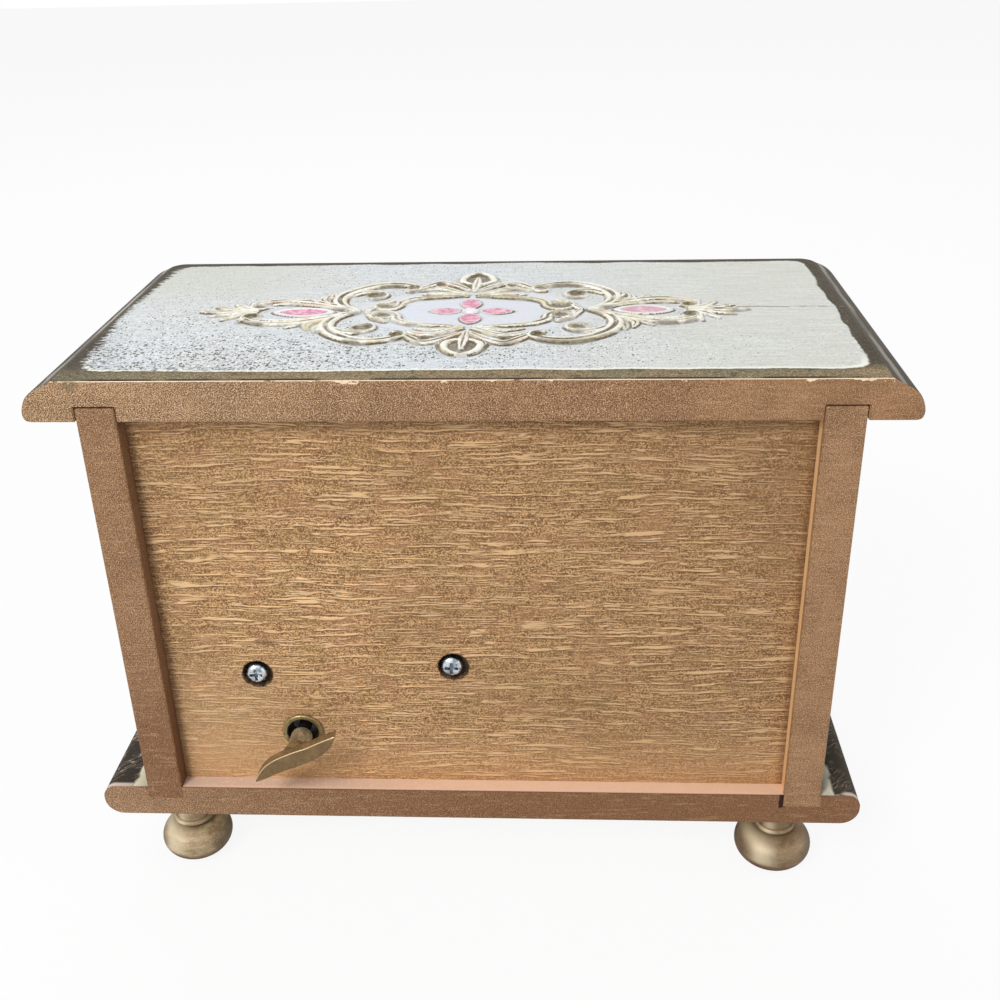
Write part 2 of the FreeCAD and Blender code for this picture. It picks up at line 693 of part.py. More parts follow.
def drawer(name, left, right, bottom, top, back, knobs):
    """A drawer with a lipless front, butted box, lining card and turned knobs."""
    front = side_front + S.front_setback
    box_front = front + S.front_thickness
    low, high = bottom + S.drawer_lift, top - S.drawer_play
    box_top = high - S.drawer_side_drop
    holes = [
        rod(f"{name}_screw_hole_{number}", OUTWARD, (across, front - S.fixed_play, up),
            S.knob_screw_radius + S.fixed_play, S.front_thickness + 2 * S.fixed_play)
        for number, (across, up) in enumerate(knobs, start=1)
    ]
    blank = board(f"{name}_front_blank", (left, right), (front, box_front), (low, high))
    cut(f"{name}_front", blank, *holes)
    board(f"{name}_left_side", (left, left + S.drawer_side), (box_front, back), (low, box_top))
    board(f"{name}_right_side", (right - S.drawer_side, right), (box_front, back), (low, box_top))
    inner_left, inner_right = left + S.drawer_side, right - S.drawer_side
    board(f"{name}_back", (inner_left, inner_right), (back - S.drawer_side, back), (low, box_top))
    inner_back = back - S.drawer_side
    floor_top = low + S.drawer_floor
    board(f"{name}_bottom", (inner_left, inner_right), (box_front, inner_back), (low, floor_top))
    board(f"{name}_lining", (inner_left + S.lining_play, inner_right - S.lining_play),
          (box_front + S.lining_play, inner_back - S.lining_play),
          (floor_top, floor_top + S.lining_thickness))
    screws = [
        screw_body(f"{name}_knob_screw_{number}", OUTWARD, (across, box_front, up),
                   S.knob_screw_head_radius, S.knob_screw_head, S.knob_screw_radius,
                   S.front_thickness + S.knob_screw_grip)
        for number, (across, up) in enumerate(knobs, start=1)
    ]
    if len(screws) == 1:
        screws[0].Label = f"{name}_knob_screw"
        turned_knob(f"{name}_knob", knobs[0][0], front, knobs[0][1])
    else:
        group(f"{name}_knob_screws", *screws)
        turned_knob(f"{name}_left_knob", knobs[0][0], front, knobs[0][1])
        turned_knob(f"{name}_right_knob", knobs[1][0], front, knobs[1][1])


upper_left = S.drawer_play - half_inside
upper_middle = half_upright + S.drawer_play
upper_knob_x = (upper_left - upper_middle) / 2
upper_knob_z = (shelf_top + lid_bottom) / 2
upper_back = panel_inner - S.drawer_stop_gap
drawer("upper_left_drawer", upper_left, -upper_middle, shelf_top, lid_bottom, upper_back,
       [(upper_knob_x, upper_knob_z)])
drawer("upper_right_drawer", upper_middle, -upper_left, shelf_top, lid_bottom, upper_back,
       [(-upper_knob_x, upper_knob_z)])
lower_knob_z = (base_top + shelf_bottom) / 2
lower_back = panel_inner - S.movement_bay
drawer("lower_drawer", upper_left, -upper_left, base_top, shelf_bottom, lower_back,
       [(-S.knob_spread, lower_knob_z), (S.knob_spread, lower_knob_z)])


# Winding key and its arbor
def from_panel(depth):
    """A plane inside the box, measured inwards from the back panel."""
    return panel_inner - depth


key = new_body("winding_key", OUTWARD, (S.key_side, panel_outer, key_z))
wing_end = S.key_wing_start + S.key_wing_thickness
shank_profile = [
    (S.arbor_radius, -S.key_shank_start),
    (S.key_shank_radius, -S.key_shank_start),
    (S.key_shank_radius, S.key_wing_start * 0.6, S.key_wing_start * -0.8),
    (S.key_shank_radius * 1.25, S.key_wing_start + S.key_wing_thickness * 0.4),
    (S.key_shank_radius * 0.6, wing_end),
    (0, wing_end),
    (0, S.key_wing_start * 0.7),
    (S.arbor_radius, S.key_wing_start * 0.7),
]
spin(key, "key_shank", draw(key, "key_shank_profile", shank_profile, "XZ_Plane"))
tip = S.key_wing_length / 2
wing_outline = [
    (-tip, S.key_wing_belly * -0.1, S.key_wing_length * -1.6),
    (tip * 0.1, S.key_wing_belly * -0.8, S.key_wing_length * 0.39),
    (tip, S.key_wing_belly * 0.1, S.key_wing_length * -1.6),
    (tip * -0.1, S.key_wing_belly * 0.8, S.key_wing_length * 0.39),
]
wing_sketch = draw(key, "key_wing_outline", wing_outline, lift=S.key_wing_start)
turn_sketch(wing_sketch, S.key_wing_angle)
pad(key, "key_wing", wing_sketch, S.key_wing_thickness)

# Depths of the movement's layers, measured inwards from the back panel
barrel_start = S.plate_thickness + S.hub_height + S.axial_play
cap_start = barrel_start + S.barrel_length
cap_end = cap_start + S.barrel_wall
crown_line = cap_end + S.crown_tooth_height / 2
pinion_radius = S.crown_radius * S.pinion_teeth / S.crown_teeth
cylinder_depth = crown_line + pinion_radius
bridge_start = cap_end + S.crown_tooth_height + S.bridge_gap
bridge_end = bridge_start + S.bridge_thickness


def inward(label, aside, rise, depth):
    """A body on the winding side of the box, its Z axis running inwards."""
    return new_body(label, INWARD, (S.key_side + aside, from_panel(depth), key_z + rise))


def inward_rod(label, aside, rise, depth, radius, length):
    at = (S.key_side + aside, from_panel(depth), key_z + rise)
    return rod(label, INWARD, at, radius, length)


def inward_board(label, aside, depth, rise):
    """A block given by its sides from the winding axis and its depths."""
    across = (S.key_side + aside[0], S.key_side + aside[1])
    up = (key_z + rise[0], key_z + rise[1])
    return board(label, across, (from_panel(depth[1]), from_panel(depth[0])), up)


def sideways_rod(label, aside, rise, depth, radius, length):
    at = (S.key_side + aside, from_panel(depth), key_z + rise)
    return rod(label, SIDEWAYS, at, radius, length)


# Winding arbor: key end, spring core and inner pivot in one turned piece
core_start = barrel_start + S.barrel_wall + S.axial_play
core_end = cap_start - S.axial_play
arbor_out = S.back_thickness + S.key_wing_start * 0.7 - S.axial_play
arbor_profile = [
    (0, -arbor_out),
    (S.arbor_radius, -arbor_out),
    (S.arbor_radius, core_start),
    (S.arbor_core_radius, core_start),
    (S.arbor_core_radius, core_end),
    (S.arbor_radius, core_end),
    (S.arbor_radius, bridge_end),
    (0, bridge_end),
]
turned("winding_arbor", arbor_profile, INWARD, (S.key_side, from_panel(0), key_z))

# Spring barrel: a drawn cup, its toothed cap and the coiled mainspring
arbor_bore = S.arbor_radius + S.running_play
barrel_inside = S.barrel_radius - S.barrel_wall
barrel_profile = [
    (arbor_bore, 0),
    (S.barrel_radius, 0),
    (S.barrel_radius, S.barrel_length),
    (barrel_inside, S.barrel_length),
    (barrel_inside, S.barrel_wall),
    (arbor_bore, S.barrel_wall),
]
turned("spring_barrel", barrel_profile, INWARD, (S.key_side, from_panel(barrel_start), key_z))

cap = inward("crown_wheel", 0, 0, cap_start)
cap_profile = [
    (arbor_bore, 0),
    (S.barrel_radius, 0),
    (S.barrel_radius, S.barrel_wall),
    (arbor_bore, S.barrel_wall),
]
spin(cap, "crown_disc", draw(cap, "crown_disc_profile", cap_profile, "XZ_Plane"))
crown_pitch = 2 * PI * S.crown_radius / S.crown_teeth
half_crown_tooth = crown_pitch * S.tooth_share / 2
crown_low, crown_high = S.crown_radius - S.crown_face / 2, S.crown_radius + S.crown_face / 2
crown_tooth = [
    (-crown_high, -half_crown_tooth),
    (-crown_low, -half_crown_tooth),
    (-crown_low, half_crown_tooth),
    (-crown_high, half_crown_tooth),
]
tooth = pad(cap, "crown_tooth", draw(cap, "crown_tooth_outline", crown_tooth),
            S.barrel_wall + S.crown_tooth_height)
ring_of(cap, "crown_teeth", tooth, S.crown_teeth)


def spiral(inner, outer, turns, thickness):
    """A flat strip wound from the inner radius to the outer one."""
    steps = int(turns * 16)
    edges = []
    for offset in (0, thickness):
        points = []
        for step in range(steps + 1):
            share = step / steps
            angle = 2 * math.pi * turns * share
            radius = inner + (outer - thickness - inner) * share + offset
            points.append(FreeCAD.Vector(radius * math.cos(angle), radius * math.sin(angle), 0))
        curve = Part.BSplineCurve()
        curve.interpolate(points)
        edges.append(curve.toShape())
    first = Part.makeLine(edges[0].Vertexes[0].Point, edges[1].Vertexes[0].Point)
    last = Part.makeLine(edges[0].Vertexes[-1].Point, edges[1].Vertexes[-1].Point)
    return Part.Face(Part.Wire([edges[0], last, edges[1], first]))


spring_room = S.barrel_length - S.barrel_wall - 2 * S.axial_play
strip = spiral(S.arbor_core_radius.value + 0.3, barrel_inside.value - 0.02,
               S.spring_turns.value, S.spring_thickness.value)
solid("mainspring", strip.extrude(FreeCAD.Vector(0, 0, spring_room.value)), INWARD,
      (S.key_side, from_panel(core_start), key_z))


# Toothed wheels
def toothed(body, name, teeth, pitch_radius, face, bore, first_on_x=True):
    """Teeth round the body's Z axis from its origin, the first one towards +X,
    or half a tooth further round so that a gap faces +X."""
    tooth_height = 1.5 * pitch_radius / teeth
    root = pitch_radius - tooth_height * 1.3
    disc = [(bore, 0), (root, 0), (root, face), (bore, face)]
    spin(body, f"{name}_disc", draw(body, f"{name}_disc_profile", disc, "XZ_Plane"))
    pitch = 2 * PI * pitch_radius / teeth
    low, high = pitch * S.tooth_share * 0.62, pitch * S.tooth_share * 0.36
    tooth_outline = [
        (root - tooth_height * 0.4, -low),
        (pitch_radius + tooth_height, -high),
        (pitch_radius + tooth_height, high),
        (root - tooth_height * 0.4, low),
    ]
    sketch = draw(body, f"{name}_tooth_outline", tooth_outline)
    if not first_on_x:
        turn_sketch(sketch, 180 / teeth)
    ring_of(body, f"{name}_teeth", pad(body, f"{name}_tooth", sketch, face), teeth)


def sideways(label, aside, rise):
    """A body whose Z axis runs along +X; its own X axis points down."""
    return new_body(label, SIDEWAYS, (S.key_side + aside, from_panel(cylinder_depth), key_z + rise))


lug_high = -S.barrel_radius - S.bearing_gap
lug_low = lug_high - S.frame_thickness
comb_width = S.comb_notes * S.comb_pitch
cylinder_length = comb_width + 2 * S.cylinder_margin
cylinder_high = lug_low - S.gear_gap
cylinder_low = cylinder_high - cylinder_length
gear_low = cylinder_low - S.gear_gap - S.gear_face
wall_high = gear_low - S.gear_gap
wall_low = wall_high - S.frame_thickness
outer_high = wall_low - S.frame_inside
outer_low = outer_high - S.frame_thickness
worm_aside = (wall_low + outer_high) / 2
gear_radius = S.gear_teeth * S.gear_module / 2
governor_radius = S.governor_teeth * S.gear_module / 2
governor_rise = gear_radius + governor_radius
wheel_radius = S.worm_wheel_teeth * S.worm_wheel_module / 2
worm_rise = governor_rise + wheel_radius + S.worm_radius
shaft_bore = S.shaft_radius + S.running_play

# Cylinder with its shaft, pinion and gear
pinion_low = -S.crown_radius - S.pinion_face / 2
pinion_high = pinion_low + S.pinion_face
sideways_rod("cylinder_shaft", wall_low, 0, cylinder_depth, S.shaft_radius, pinion_high - wall_low)
toothed(sideways("cylinder_pinion", pinion_low, 0), "pinion", S.pinion_teeth, pinion_radius,
        S.pinion_face, S.shaft_radius, first_on_x=False)
toothed(sideways("cylinder_gear", gear_low, 0), "cylinder_gear", S.gear_teeth, gear_radius,
        S.gear_face, S.shaft_radius)


def pinned_drum():
    """The cylinder with its pins, each note's row turned by the golden angle."""
    length, radius, root = cylinder_length.value, S.cylinder_radius.value, S.pin_root.value
    drum = Part.makeCylinder(radius, length)
    notes, round_count = int(S.comb_notes.value), int(S.pins_per_note.value)
    first = (length - (notes - 1) * S.comb_pitch.value) / 2
    pins = []
    for note in range(notes):
        height = first + note * S.comb_pitch.value
        for turn in range(round_count):
            angle = math.radians(note * 137.5 + turn * 360 / round_count)
            direction = FreeCAD.Vector(math.cos(angle), math.sin(angle), 0)
            foot = direction * (radius - root) + FreeCAD.Vector(0, 0, height)
            pins.append(Part.makeCylinder(S.pin_radius.value, S.pin_height.value + root, foot, direction))
    return drum.fuse(pins).cut(Part.makeCylinder(S.shaft_radius.value, length))


solid("pin_cylinder", pinned_drum(), SIDEWAYS,
      (S.key_side + cylinder_low, from_panel(cylinder_depth), key_z))

# Governor wheel: a small pinion and a worm wheel on one shaft
governor_start = outer_low
sideways_rod("governor_shaft", governor_start, governor_rise, cylinder_depth, S.shaft_radius,
             gear_low + S.gear_face - governor_start)
toothed(sideways("governor_pinion", gear_low, governor_rise), "governor_pinion", S.governor_teeth,
        governor_radius, S.gear_face, S.shaft_radius, first_on_x=False)
toothed(sideways("worm_wheel", worm_aside - S.worm_wheel_face / 2, governor_rise), "worm_wheel",
        S.worm_wheel_teeth, wheel_radius, S.worm_wheel_face, S.shaft_radius, first_on_x=False)

# Worm and fly, which turn fast and hold the speed down
worm_pitch = PI * S.worm_wheel_module
thread_start = cylinder_depth - 2.25 * worm_pitch
thread_length = worm_pitch * S.worm_turns
low_lug_end = thread_start - S.lug_gap
low_lug_start = low_lug_end - S.frame_thickness
fly_start = cylinder_depth + wheel_radius * 1.1 + S.gear_gap
high_lug_start = fly_start + S.fly_height + S.gear_gap
high_lug_end = high_lug_start + S.frame_thickness
worm_root = S.worm_radius - S.worm_depth * 1.2


def worm():
    """The worm shaft: pivots, root and one right-handed thread."""
    pitch, length = worm_pitch.value, thread_length.value
    start = (thread_start - low_lug_start).value
    shoulder = S.frame_thickness.value + S.axial_play.value
    root_end = (fly_start - low_lug_start).value
    end = (high_lug_end - low_lug_start).value
    pivot = S.worm_pivot_radius.value
    shaft = Part.makeCylinder(pivot, end)
    root = Part.makeCylinder(worm_root.value, root_end - shoulder, FreeCAD.Vector(0, 0, shoulder))
    helix = Part.makeHelix(pitch, length, worm_root.value)
    inner, outer = worm_root.value - 0.15, S.worm_radius.value + S.worm_depth.value
    corners = [(inner, -0.3), (outer, -0.13), (outer, 0.13), (inner, 0.3), (inner, -0.3)]
    profile = Part.makePolygon([FreeCAD.Vector(r, 0, h * pitch) for r, h in corners])
    thread = Part.Wire(helix).makePipeShell([profile], True, True)
    thread.translate(FreeCAD.Vector(0, 0, start))
    return shaft.fuse([root, thread])


worm_place = (S.key_side + worm_aside, from_panel(low_lug_start), key_z + worm_rise)
solid("worm_shaft", worm(), INWARD, worm_place)
fly_bore = inward_rod("fly_bore", worm_aside, worm_rise, fly_start - S.fixed_play,
                      S.worm_pivot_radius, S.fly_height + 2 * S.fixed_play)
fly_hub = inward_rod("fly_hub", worm_aside, worm_rise, fly_start, S.fly_hub_radius, S.fly_height)
fly_blades = inward_board(
    "fly_blades", (worm_aside - S.fly_radius, worm_aside + S.fly_radius),
    (fly_start, fly_start + S.fly_height),
    (worm_rise - S.fly_thickness / 2, worm_rise + S.fly_thickness / 2))
cut("governor_fly", fuse("fly_blank", fly_hub, fly_blades), fly_bore)

# Comb, cut from one steel plate
comb_tip = S.cylinder_radius + S.pin_height + S.comb_clearance
comb_low = cylinder_low + S.cylinder_margin
comb_start = cylinder_depth - S.comb_thickness / 2
comb_end = comb_start + S.comb_thickness
comb_blank = inward("comb_blank", comb_low, comb_tip, comb_start)
comb_height = S.comb_tooth_length + S.comb_root_length
plate = [(0, 0), (comb_width, 0), (comb_width, comb_height), (0, comb_height)]
pad(comb_blank, "comb_plate", draw(comb_blank, "comb_outline", plate), S.comb_thickness)
slot_low = S.comb_pitch - S.comb_slot / 2
slot_high = S.comb_pitch + S.comb_slot / 2
slot = [(slot_low, -S.fixed_play), (slot_high, -S.fixed_play),
        (slot_high, S.comb_tooth_length), (slot_low, S.comb_tooth_length)]
first_slot = pocket(comb_blank, "comb_slot", draw(comb_blank, "comb_slot_outline", slot),
                    S.comb_thickness, upward=True)
row_of(comb_blank, "comb_slots", first_slot, S.comb_notes - 1, S.comb_pitch * (S.comb_notes - 2))
comb_middle = comb_low + comb_width / 2
comb_screw_rise = comb_tip + S.comb_tooth_length + S.comb_root_length / 2
comb_screw_places = [(comb_middle - S.comb_screw_spread, comb_screw_rise),
                     (comb_middle + S.comb_screw_spread, comb_screw_rise)]
comb_holes = [
    inward_rod(f"comb_hole_{number}", aside, rise, comb_start - S.fixed_play,
               S.small_screw_radius + S.fixed_play, S.comb_thickness + 2 * S.fixed_play)
    for number, (aside, rise) in enumerate(comb_screw_places, start=1)
]
cut("comb", comb_blank, *comb_holes)

# Strap that carries the inner end of the winding arbor
half_bridge = S.bridge_width / 2
leg = S.barrel_radius + S.bridge_gap
leg_end = leg + S.bridge_thickness
foot_end = leg_end + S.bridge_foot
bridge_across = (-half_bridge, half_bridge)
foot_top = S.plate_thickness + S.bridge_thickness
bridge_blank = fuse(
    "bridge_blank",
    inward_board("bridge_top", bridge_across, (bridge_start, bridge_end), (-leg_end, leg_end)),
    inward_board("bridge_upper_leg", bridge_across, (S.plate_thickness, bridge_end), (leg, leg_end)),
    inward_board("bridge_lower_leg", bridge_across, (S.plate_thickness, bridge_end), (-leg_end, -leg)),
    inward_board("bridge_foot_sheet", bridge_across, (S.plate_thickness, foot_top), (leg, foot_end)))
bridge_screw_rise = (leg_end + foot_end) / 2
cut("barrel_bridge", bridge_blank,
    inward_rod("bridge_bore", 0, 0, bridge_start - S.fixed_play, arbor_bore,
               S.bridge_thickness + 2 * S.fixed_play),
    inward_rod("bridge_screw_hole", 0, bridge_screw_rise, S.plate_thickness - S.fixed_play,
               S.small_screw_radius + S.fixed_play, S.bridge_thickness + 2 * S.fixed_play))

# Frame of the governor, with bearings for its shafts and the stop lever
pivot_rise = worm_rise + S.fly_radius + S.lever_hub_radius + S.gear_gap
pivot_depth = high_lug_end + S.lever_hub_radius + S.fixed_play
half_lever = S.lever_width / 2
ear_high = worm_aside + half_lever + S.axial_play + S.frame_thickness
ear_low = worm_aside - half_lever - S.axial_play - S.frame_thickness
flange_end = S.plate_thickness + S.frame_thickness
ear_depth = (high_lug_start, pivot_depth + S.lever_pin_radius + S.frame_thickness / 2)
ear_up = (worm_rise - S.bearing_margin, pivot_rise + S.lever_pin_radius + S.frame_thickness / 2)
frame_blank = fuse(
    "governor_frame_blank",
    inward_board("frame_flange", (outer_low, wall_high), (S.plate_thickness, flange_end),
                 (-S.frame_drop, governor_rise + S.bearing_margin)),
    inward_board("frame_inner_wall", (wall_low, wall_high),
                 (S.plate_thickness, cylinder_depth + S.bearing_margin),
                 (-S.frame_drop, governor_rise + S.bearing_margin)),
    inward_board("frame_outer_wall", (outer_low, outer_high), (S.plate_thickness, high_lug_end),
                 (governor_rise - S.bearing_margin, worm_rise + S.bearing_margin)),
    inward_board("frame_low_lug", (outer_low, worm_aside + S.bearing_margin / 2),
                 (low_lug_start, low_lug_end),
                 (worm_rise - S.bearing_margin, worm_rise + S.bearing_margin)),
    inward_board("frame_high_lug", (outer_low, ear_high), (high_lug_start, high_lug_end),
                 (worm_rise - S.bearing_margin, worm_rise + S.bearing_margin)),
    inward_board("frame_ear_a", (ear_low, ear_low + S.frame_thickness), ear_depth, ear_up),
    inward_board("frame_ear_b", (ear_high - S.frame_thickness, ear_high), ear_depth, ear_up))
frame_screw_rise = governor_rise / 2 - S.frame_drop
frame_reach = wall_high - outer_low + 2 * S.fixed_play
frame_bores = [
    sideways_rod("cylinder_bearing_hole", wall_low - S.fixed_play, 0, cylinder_depth, shaft_bore,
                 S.frame_thickness + 2 * S.fixed_play),
    sideways_rod("governor_bearing_holes", outer_low - S.fixed_play, governor_rise, cylinder_depth,
                 shaft_bore, frame_reach),
    inward_rod("worm_bearing_holes", worm_aside, worm_rise, low_lug_start - S.fixed_play,
               S.worm_pivot_radius + S.running_play,
               high_lug_end - low_lug_start + 2 * S.fixed_play),
    sideways_rod("lever_bearing_holes", ear_low - S.fixed_play, pivot_rise, pivot_depth,
                 S.lever_pin_radius + S.running_play, ear_high - ear_low + 2 * S.fixed_play),
    inward_rod("frame_screw_hole", worm_aside, frame_screw_rise, S.plate_thickness - S.fixed_play,
               S.small_screw_radius + S.fixed_play, S.frame_thickness + 2 * S.fixed_play),
]
cut("governor_frame", frame_blank, *frame_bores)

# Stop lever: the shut drawer holds its catch next to the fly
lever_across = (worm_aside - half_lever, worm_aside + half_lever)
catch_depth = fly_start + S.fly_height / 2
lever_top = pivot_rise + S.lever_height
fuse("stop_lever",
     sideways_rod("lever_pivot", ear_low, pivot_rise, pivot_depth, S.lever_pin_radius, ear_high - ear_low),
     sideways_rod("lever_hub", worm_aside - half_lever, pivot_rise, pivot_depth, S.lever_hub_radius,
                  S.lever_width),
     inward_board("lever_arm", lever_across,
                  (pivot_depth - S.lever_thickness / 2, pivot_depth + S.lever_thickness / 2),
                  (pivot_rise, lever_top)),
     inward_board("lever_toe", lever_across,
                  (pivot_depth - S.lever_thickness / 2, S.movement_bay - S.lever_gap),
                  (lever_top - S.lever_thickness, lever_top)),
     inward_board("lever_finger", lever_across, (catch_depth - S.lever_thickness / 2, pivot_depth),
                  (pivot_rise - S.lever_thickness / 2, pivot_rise + S.lever_thickness / 2)),
     inward_board("lever_catch_tab", lever_across,
                  (catch_depth - S.lever_thickness / 2, catch_depth + S.lever_thickness / 2),
                  (worm_rise + S.fly_radius + S.catch_clearance, pivot_rise)))

# Bedplate: cast plate with bosses, the arbor's hub, a bearing and the comb's block
bosses = [
    inward_rod("boss_a", S.screw_side_a, S.screw_rise_a, 0, S.boss_radius,
               S.plate_thickness + S.boss_height),
    inward_rod("boss_b", -S.screw_side_b, S.screw_rise_b, 0, S.boss_radius,
               S.plate_thickness + S.boss_height),
    inward_rod("arbor_hub", 0, 0, 0, S.hub_radius, S.plate_thickness + S.hub_height),
]
block_rise = (comb_tip + S.comb_tooth_length + S.bearing_gap, comb_tip + comb_height)
plate_blank = fuse(
    "bedplate_blank",
    inward_board("bedplate_sheet", (outer_low - S.plate_margin, S.plate_outer_reach), (0, S.plate_thickness),
                 (-S.plate_drop, S.plate_rise)),
    inward_board("comb_block", (comb_low, comb_low + comb_width), (0, comb_start), block_rise),
    inward_board("cylinder_bearing", (lug_low, lug_high), (0, cylinder_depth + S.bearing_margin),
                 (-S.bearing_margin, S.bearing_margin)),
    *bosses)
screw_reach = S.screw_grip + S.fixed_play
small_reach = S.small_screw_grip + S.fixed_play
plate_cuts = [
    inward_rod("arbor_bearing_hole", 0, 0, -S.fixed_play, arbor_bore,
               S.plate_thickness + S.hub_height + 2 * S.fixed_play),
    inward_rod("boss_a_hole", S.screw_side_a, S.screw_rise_a, -S.fixed_play,
               S.screw_radius, screw_reach + S.fixed_play),
    inward_rod("boss_b_hole", -S.screw_side_b, S.screw_rise_b, -S.fixed_play,
               S.screw_radius, screw_reach + S.fixed_play),
    sideways_rod("cylinder_end_hole", lug_low - S.fixed_play, 0, cylinder_depth, shaft_bore,
                 S.frame_thickness + 2 * S.fixed_play),
    inward_rod("bridge_thread", 0, bridge_screw_rise, foot_top - small_reach, S.small_screw_radius,
               small_reach),
    inward_rod("frame_thread", worm_aside, frame_screw_rise, flange_end - small_reach,
               S.small_screw_radius, small_reach),
]
for number, (aside, rise) in enumerate(comb_screw_places, start=1):
    plate_cuts.append(inward_rod(f"comb_thread_{number}", aside, rise, comb_end - small_reach,
                                 S.small_screw_radius, small_reach))
cut("bedplate", plate_blank, *plate_cuts)

# Small screws of the movement share one node
small_screw_places = [(aside, rise, comb_end) for aside, rise in comb_screw_places]
small_screw_places.append((0, bridge_screw_rise, foot_top))
small_screw_places.append((worm_aside, frame_screw_rise, flange_end))
group("small_screws", *[
    screw_body(f"small_screw_{number}", INWARD, (S.key_side + aside, from_panel(seat), key_z + rise),
               S.small_screw_head_radius, S.small_screw_head, S.small_screw_radius,
               S.small_screw_grip)
    for number, (aside, rise, seat) in enumerate(small_screw_places, start=1)
])

# The nodes, in the order they go together
NODES = [
    "base_board", "side_panel_left", "side_panel_right", "back_panel", "drawer_shelf",
    "drawer_upright", "top_board", "top_relief", *feet, "key_eyelet", "movement_screws",
    "bedplate", "barrel_bridge", "comb", "governor_frame", "small_screws",
    "winding_arbor", "winding_key", "spring_barrel", "crown_wheel", "mainspring",
    "cylinder_shaft", "cylinder_pinion", "pin_cylinder", "cylinder_gear",
    "governor_shaft", "governor_pinion", "worm_wheel", "worm_shaft", "governor_fly", "stop_lever",
]
for name in ("upper_left_drawer", "upper_right_drawer", "lower_drawer"):
    NODES += [f"{name}_{piece}" for piece in ("front", "left_side", "right_side", "back", "bottom", "lining")]
NODES += [
    "upper_left_drawer_knob", "upper_left_drawer_knob_screw",
    "upper_right_drawer_knob", "upper_right_drawer_knob_screw",
    "lower_drawer_left_knob", "lower_drawer_right_knob", "lower_drawer_knob_screws",
]

doc.recompute()
for thing in doc.Objects:
    if "Invalid" in thing.State or "Error" in thing.State:
        raise RuntimeError(f"{thing.Label} did not build: {thing.State}")

os.makedirs("parts", exist_ok=True)
total = 0.0
for name in NODES:
    piece = doc.getObjectsByLabel(name)[0]
    shape = piece.Shape
    if shape.isNull() or not shape.isValid() or not shape.Solids:
        raise RuntimeError(f"{name} has no valid solid")
    total += shape.Volume
    shape.exportStep(f"parts/{name}.step")
print(f"{len(NODES)} nodes, {total / 1000:.1f} cubic centimetres")
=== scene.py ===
import functools
import math

import bmesh
import bpy
import numpy as np
from mathutils import Matrix, Vector


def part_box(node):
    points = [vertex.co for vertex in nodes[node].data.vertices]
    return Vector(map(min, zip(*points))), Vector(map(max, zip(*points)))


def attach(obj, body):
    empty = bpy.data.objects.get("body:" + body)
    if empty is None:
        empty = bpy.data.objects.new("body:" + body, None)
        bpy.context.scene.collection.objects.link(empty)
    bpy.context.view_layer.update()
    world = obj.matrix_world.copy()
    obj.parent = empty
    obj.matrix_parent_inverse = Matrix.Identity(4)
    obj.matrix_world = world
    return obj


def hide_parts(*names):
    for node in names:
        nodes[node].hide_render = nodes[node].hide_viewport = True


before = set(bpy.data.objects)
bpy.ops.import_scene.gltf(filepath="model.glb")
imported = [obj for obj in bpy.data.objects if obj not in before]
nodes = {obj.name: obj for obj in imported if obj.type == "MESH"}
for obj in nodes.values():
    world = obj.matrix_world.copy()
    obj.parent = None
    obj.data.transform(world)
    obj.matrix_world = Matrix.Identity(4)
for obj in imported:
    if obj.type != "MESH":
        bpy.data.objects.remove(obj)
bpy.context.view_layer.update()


# ---- Table, lamps and camera ----
# The box stands with its back to the camera on a plain white table. A large soft
# lamp hangs over the camera's left, and weaker ones light the other sides.
def add(tree, kind, links=(), **settings):
    """One shader node; links gives its inputs a number, a colour or a socket."""
    node = tree.nodes.new("ShaderNode" + kind)
    for name, value in settings.items():
        setattr(node, name, value)
    for name, value in dict(links).items():
        if isinstance(value, bpy.types.NodeSocket):
            tree.links.new(value, node.inputs[name])
        else:
            node.inputs[name].default_value = value
    return node


def tree_of(values):
    """The node tree of the sockets among the values."""
    return next(value.id_data for value in values if isinstance(value, bpy.types.NodeSocket))


def calc(operation, *values, clamp=False):
    return add(tree_of(values), "Math", enumerate(values), operation=operation, use_clamp=clamp).outputs[0]


times, plus, minus, scaled, absolute, most, least, soft_min = (
    functools.partial(calc, operation) for operation in
    ("MULTIPLY", "ADD", "SUBTRACT", "MULTIPLY_ADD", "ABSOLUTE", "MAXIMUM", "MINIMUM", "SMOOTH_MIN"))


def emptied(owner):
    """The node tree of a new material or world, without its first nodes."""
    owner.use_nodes = True
    owner.node_tree.nodes.clear()
    return owner.node_tree


def new_object(name, data):
    thing = bpy.data.objects.new(name, data)
    bpy.context.scene.collection.objects.link(thing)
    return thing


reach = 3.0
table_mesh = bpy.data.meshes.new("table")
table_mesh.from_pydata([(-reach, -reach, 0), (reach, -reach, 0), (reach, reach, 0), (-reach, reach, 0)],
                       [], [(0, 1, 2, 3)])
table = new_object("table", table_mesh)
table_white = bpy.data.materials.new("table_white")
tree = emptied(table_white)
paper = add(tree, "BsdfDiffuse", {"Color": (0.82, 0.82, 0.82, 1)})
glow = add(tree, "Emission", {"Color": (1, 1, 1, 1), "Strength": 1.0})
seen = add(tree, "LightPath").outputs["Is Camera Ray"]
mixed = add(tree, "MixShader", {0: times(seen, 0.90), 1: paper.outputs[0], 2: glow.outputs[0]})
tree.links.new(mixed.outputs[0], add(tree, "OutputMaterial").inputs["Surface"])
table_mesh.materials.append(table_white)

